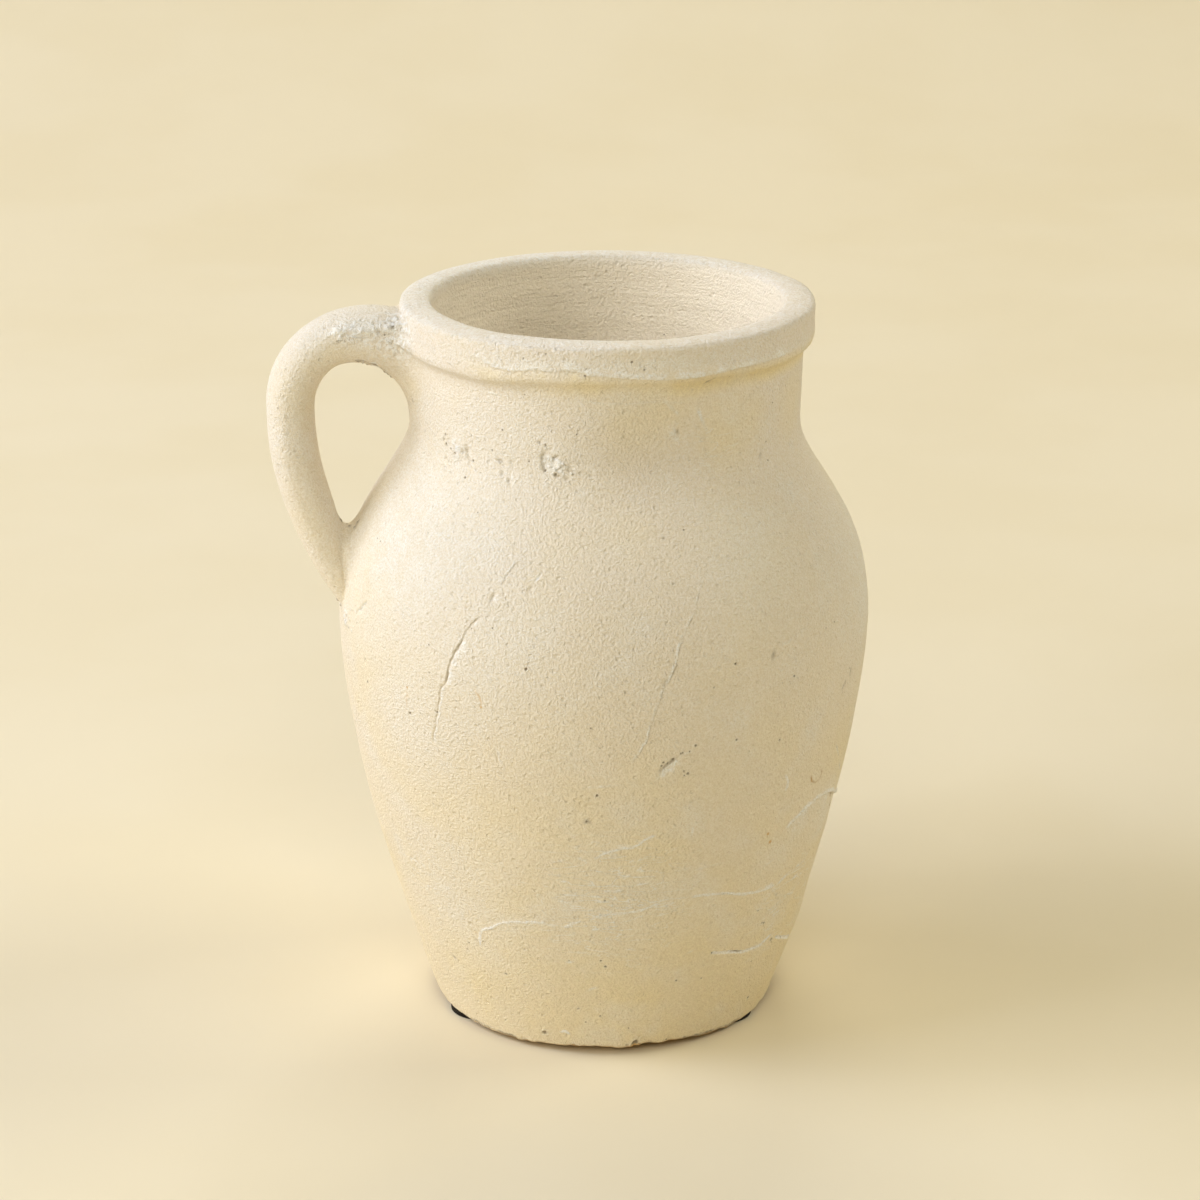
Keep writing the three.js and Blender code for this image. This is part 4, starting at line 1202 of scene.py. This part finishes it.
def whitewash(name, relief):
    """Lime wash brushed over fired clay: cream with ochre stains and chalky places, sandy to the touch; it
    also carries painted shade in hollows, cracks, under the band and along the base, painted yellow bounce
    light on the foot, painted highlights on lit edges and a painted lighter inside.
    """
    material, tree, skin, place = new_finish(name, 0.92)
    skin.inputs["Specular IOR Level"].default_value = 0.25
    inside = tone(tree, "inside")
    colour = laid_over(tree, ramp(tree, clouds(tree, place, 20, 2), 0.4, 0.8, 0, 0.4), CREAM, OCHRE_AND_PAINTED_SHADE_COLOUR)
    # The ochre tone carries stains and also painted shade under the band and painted yellow bounce light over
    # the foot.
    ochre_and_shade_mottle = ramp(tree, clouds(tree, place, 55, 4), 0.25, 0.7, 0.65, 1)
    colour = laid_over(tree, times(tree, tone(tree, "ochre_and_painted_shade"), ochre_and_shade_mottle), colour, OCHRE_AND_PAINTED_SHADE_COLOUR)
    wash = ramp(tree, clouds(tree, place, 60, 6, 0.2), 0.46, 0.78, 0, 0.5)
    colour = laid_over(tree, wash, colour, CHALK_AND_PAINTED_HIGHLIGHT_COLOUR)
    # Painted light inside the mouth: a lighter, warmer colour standing in for light on the inner wall.
    colour = laid_over(tree, inside, colour, PAINTED_LIGHT_INSIDE_COLOUR)
    # The chalk tone carries chalky wash and also painted highlights on the lit slopes of cracks, seams, chips
    # and flakes.
    chalk_and_highlight_mottle = ramp(tree, clouds(tree, place, 160, 5), 0.3, 0.6, 0.6, 1)
    chalk_and_painted_highlight = times(tree, tone(tree, "chalk_and_painted_highlight"), chalk_and_highlight_mottle)
    colour = laid_over(tree, reckon(tree, "MINIMUM", chalk_and_painted_highlight, 1), colour, CHALK_AND_PAINTED_HIGHLIGHT_COLOUR)
    colour = laid_over(tree, ramp(tree, chalk_and_painted_highlight, 0.5, 1.2, 0, 0.9), colour, WHITE_AND_PAINTED_HIGHLIGHT_COLOUR)
    sand = clouds(tree, place, 1150, 2.5)
    grit = clouds(tree, place, 1900, 2)
    # Less sand and grit inside the mouth: painted light that lightens the inner wall.
    less_sand_inside_painted_light = reckon(tree, "SUBTRACT", 1, times(tree, inside, 0.55))
    # Darker sand colour in the low spots of the grain's relief: partly clay showing through, partly painted
    # shade in the hollows.
    sand_and_painted_shade = times(tree, ramp(tree, sand, 0.3, 0.65, 0.26, 0), less_sand_inside_painted_light)
    grit_and_painted_shade = times(tree, ramp(tree, grit, 0.3, 0.65, 0.46, 0), less_sand_inside_painted_light)
    colour = laid_over(tree, sand_and_painted_shade, colour, SAND_AND_PAINTED_SHADE_COLOUR)
    colour = laid_over(tree, grit_and_painted_shade, colour, SAND_AND_PAINTED_SHADE_COLOUR)
    rough = tone(tree, "rough")
    crust = clouds(tree, place, 640, 5, 0.6)
    # On crusty places the hollows of the crust's relief are painted dark and its peaks painted white: painted
    # shade and painted highlight.
    painted_shade_in_hollows = times(tree, ramp(tree, crust, 0.36, 0.45, 0.08, 0), rough)
    colour = laid_over(tree, painted_shade_in_hollows, colour, GRIME_AND_PAINTED_SHADE_COLOUR)
    painted_highlight_on_peaks = times(tree, ramp(tree, crust, 0.47, 0.6, 0, 0.85), rough)
    colour = laid_over(tree, painted_highlight_on_peaks, colour, WHITE_AND_PAINTED_HIGHLIGHT_COLOUR)
    level = drawn_out(tree, place, (0, 0.16, 0), (64, 64, 300))
    streaks = reckon(tree, "ABSOLUTE", reckon(tree, "SUBTRACT", clouds(tree, level, 1, 4, 0.5), 0.5))
    streaks = times(tree, ramp(tree, streaks, 0.004, 0.016, 1, 0), tone(tree, "streaks"))
    colour = laid_over(tree, times(tree, streaks, 0.75), colour, WHITE_AND_PAINTED_HIGHLIGHT_COLOUR)
    specks = node(tree, "ShaderNodeTexVoronoi", {"Vector": place, "Scale": 125}).outputs["Distance"]
    specks = ramp(tree, specks, 0.022, 0.045, 0.8, 0)
    colour = laid_over(tree, specks, colour, SPECK)
    # The grime tone carries dirt and also painted shade: in pits, cracks, nicks and gouges, under the band
    # and along the base's edge.
    grime_and_shade_mottle = ramp(tree, clouds(tree, place, 900, 3), 0.25, 0.6, 0.35, 1)
    colour = laid_over(tree, times(tree, tone(tree, "grime_and_painted_shade"), grime_and_shade_mottle), colour, GRIME_AND_PAINTED_SHADE_COLOUR)
    # The rust tone carries rust marks and the brown of the painted contact shadow along the base's edge.
    colour = laid_over(tree, tone(tree, "rust_and_painted_shade"), colour, RUST_AND_PAINTED_SHADE_COLOUR)
    tree.links.new(colour, skin.inputs["Base Color"])
    pores = node(tree, "ShaderNodeTexVoronoi", {"Vector": place, "Scale": 330}).outputs["Distance"]
    pores = ramp(tree, pores, 0.08, 0.26)
    rows = drawn_out(tree, place, (0, 0, 0), (60, 60, 700))
    rows = times(tree, clouds(tree, rows, 1, 3, 0.6), inside)
    crusty = times(tree, crust, rough)
    height = sand
    layers = ((grit, 0.6), (pores, 0.42), (rows, 0.7), (crusty, 2.2), (streaks, 0.2), (specks, -0.8))
    for layer, share in layers:
        height = reckon(tree, "ADD", height, times(tree, layer, share))
    emboss(tree, skin, height, relief)
    return material


def rubber(name):
    """Black rubber, dusty in places and faintly pebbled."""
    material, tree, skin, place = new_finish(name, 0.6)
    dust = ramp(tree, clouds(tree, place, 500, 4), 0.5, 0.75, 0, 0.2)
    colour = laid_over(tree, dust, RUBBER, DUSTY_RUBBER)
    tree.links.new(colour, skin.inputs["Base Color"])
    tree.links.new(ramp(tree, clouds(tree, place, 800, 3), 0.3, 0.7, 0.45, 0.75), skin.inputs["Roughness"])
    skin.inputs["Specular IOR Level"].default_value = 0.15
    emboss(tree, skin, clouds(tree, place, 1500, 3), RUBBER_RELIEF)
    return material


def glue(name):
    """Amber glue, smooth but uneven, with clay dust caught in it."""
    material, tree, skin, place = new_finish(name, 0.35)
    dust = ramp(tree, clouds(tree, place, 700, 4), 0.45, 0.7, 0, 0.7)
    colour = laid_over(tree, dust, AMBER, DUSTY_AMBER)
    tree.links.new(colour, skin.inputs["Base Color"])
    tree.links.new(ramp(tree, dust, 0, 0.7, 0.3, 0.8), skin.inputs["Roughness"])
    emboss(tree, skin, clouds(tree, place, 400, 3), GLUE_RELIEF)
    return material


# Paper sweep: a level floor that curves up into a wall far behind the vase
SWEEP_WIDTH = 6.0
SWEEP_FRONT = -3.0
SWEEP_BEND = 1.2
SWEEP_RADIUS = 1.0
SWEEP_TOP = 3.0
SWEEP_ROWS = 17
PAPER = (0.815, 0.735, 0.57)
PAPER_SHADE = (0.80, 0.715, 0.54)


def pale_paper():
    """Matt pale yellow paper with a trace of its own cloudiness."""
    material, tree, skin, place = new_finish("pale_yellow_paper", 0.95)
    skin.inputs["Specular IOR Level"].default_value = 0.1
    cloud = ramp(tree, clouds(tree, place, 6, 3), 0.35, 0.65)
    tree.links.new(laid_over(tree, cloud, PAPER, PAPER_SHADE), skin.inputs["Base Color"])
    return material


def paper_sweep():
    """The paper: its side line drawn out to its width."""
    sweep = bmesh.new()
    bend = [
        (SWEEP_BEND + SWEEP_RADIUS * math.sin(a), SWEEP_RADIUS * (1 - math.cos(a)))
        for a in np.linspace(0, math.pi / 2, SWEEP_ROWS)
    ]
    line = [(SWEEP_FRONT, 0), *bend, (SWEEP_BEND + SWEEP_RADIUS, SWEEP_TOP)]
    verts = [sweep.verts.new((-SWEEP_WIDTH / 2, y, z)) for y, z in line]
    edges = [sweep.edges.new(pair) for pair in zip(verts, verts[1:])]
    grown = bmesh.ops.extrude_edge_only(sweep, edges=edges)["geom"]
    moved = [v for v in grown if isinstance(v, bmesh.types.BMVert)]
    bmesh.ops.translate(sweep, verts=moved, vec=(SWEEP_WIDTH, 0, 0))
    bmesh.ops.recalc_face_normals(sweep, faces=sweep.faces)
    mesh = bpy.data.meshes.new("paper_sweep")
    sweep.to_mesh(mesh)
    sweep.free()
    mesh.polygons.foreach_set("use_smooth", [True] * len(mesh.polygons))
    mesh.materials.append(pale_paper())
    floor = bpy.data.objects.new("paper_sweep", mesh)
    bpy.context.scene.collection.objects.link(floor)


def softbox(name, place, aim, power, colour):
    """A square area lamp that faces the vase."""
    data = bpy.data.lights.new(name, "AREA")
    data.shape = "RECTANGLE"
    data.size = LAMP_SIZE
    data.size_y = LAMP_SIZE
    data.energy = power
    data.color = colour
    lamp = bpy.data.objects.new(name, data)
    bpy.context.scene.collection.objects.link(lamp)
    lamp.location = place
    lamp.rotation_euler = (place - aim).to_track_quat("Z", "Y").to_euler()


# Soft lamps round the vase: degrees to the camera's left, degrees of rise, power and tint
LAMP_DISTANCE = 2.8
LAMP_SIZE = 1.27
LAMP_HEIGHT = 0.1
DAYLIGHT = (0.957, 1.0, 1.13)
WARM = (1.045, 1.0, 0.82)
LAMPS = {
    "high_key": (75, 45, 29.9, DAYLIGHT),
    "low_key": (98, 22, 25.0, DAYLIGHT),
    "right_fill": (-100, 30, 26.8, WARM),
    "front_fill": (0, 40, 19.5, WARM),
    "left_fill": (50, 20, 17.4, WARM),
    "back_light": (180, 40, 27.9, WARM),
}
AIR = (1.0, 0.93, 0.72)
AIR_STRENGTH = 0.05
# What is seen past the paper is as pale as the paper
AIR_SEEN = 0.82


def studio_light():
    """Large soft lamps, mostly from the left, and a little light from all round."""
    aim = Vector((AXIS_X, 0, LAMP_HEIGHT))
    for name, (turn, rise, power, tint) in LAMPS.items():
        heading = VIEW_TURN + math.radians(turn)
        rise = math.radians(rise)
        softbox(name, aim + LAMP_DISTANCE * direction(heading, rise), aim, power, tint)
    world = bpy.data.worlds.new("studio_air")
    world.use_nodes = True
    tree = world.node_tree
    air = tree.nodes["Background"]
    air.inputs["Color"].default_value = (*AIR, 1)
    ray = node(tree, "ShaderNodeLightPath").outputs
    seen = reckon(tree, "MAXIMUM", ray["Is Camera Ray"], ray["Is Glossy Ray"])
    seen = reckon(tree, "MAXIMUM", seen, ray["Is Transmission Ray"])
    tree.links.new(ramp(tree, seen, 0, 1, AIR_STRENGTH, AIR_SEEN), air.inputs["Strength"])
    bpy.context.scene.world = world


photo_camera()
paper_sweep()
studio_light()
wash = whitewash("lime_washed_clay", WASH_RELIEF)
smoothed_wash = whitewash("lime_washed_joint", SMEAR_RELIEF)
finished(worked_pot(), "thrown_pot", wash, "whitewashed_clay", "vase_body")
handle_marks, handle_pits = strap_marks()
handle = work_clay(pull_strap(), handle_marks, handle_pits)
finished(handle, "pulled_handle", wash, "whitewashed_clay", "handle")
upper_smear = work_clay(smear_joint(True), handle_marks, handle_pits)
finished(upper_smear, "upper_joint", smoothed_wash, "joint_clay", "upper_joint_clay")
lower_smear = work_clay(smear_joint(False), handle_marks, handle_pits)
finished(lower_smear, "lower_joint", smoothed_wash, "joint_clay", "lower_joint_clay")
black_rubber = rubber("black_rubber")
amber_glue = glue("amber_glue")
for place in ("front_left", "front_right", "back"):
    for slot in bpy.data.objects["foot_" + place].material_slots:
        slot.material = black_rubber
    for slot in bpy.data.objects["foot_glue_" + place].material_slots:
        slot.material = amber_glue

settings = bpy.context.scene.view_settings
settings.view_transform = "Standard"
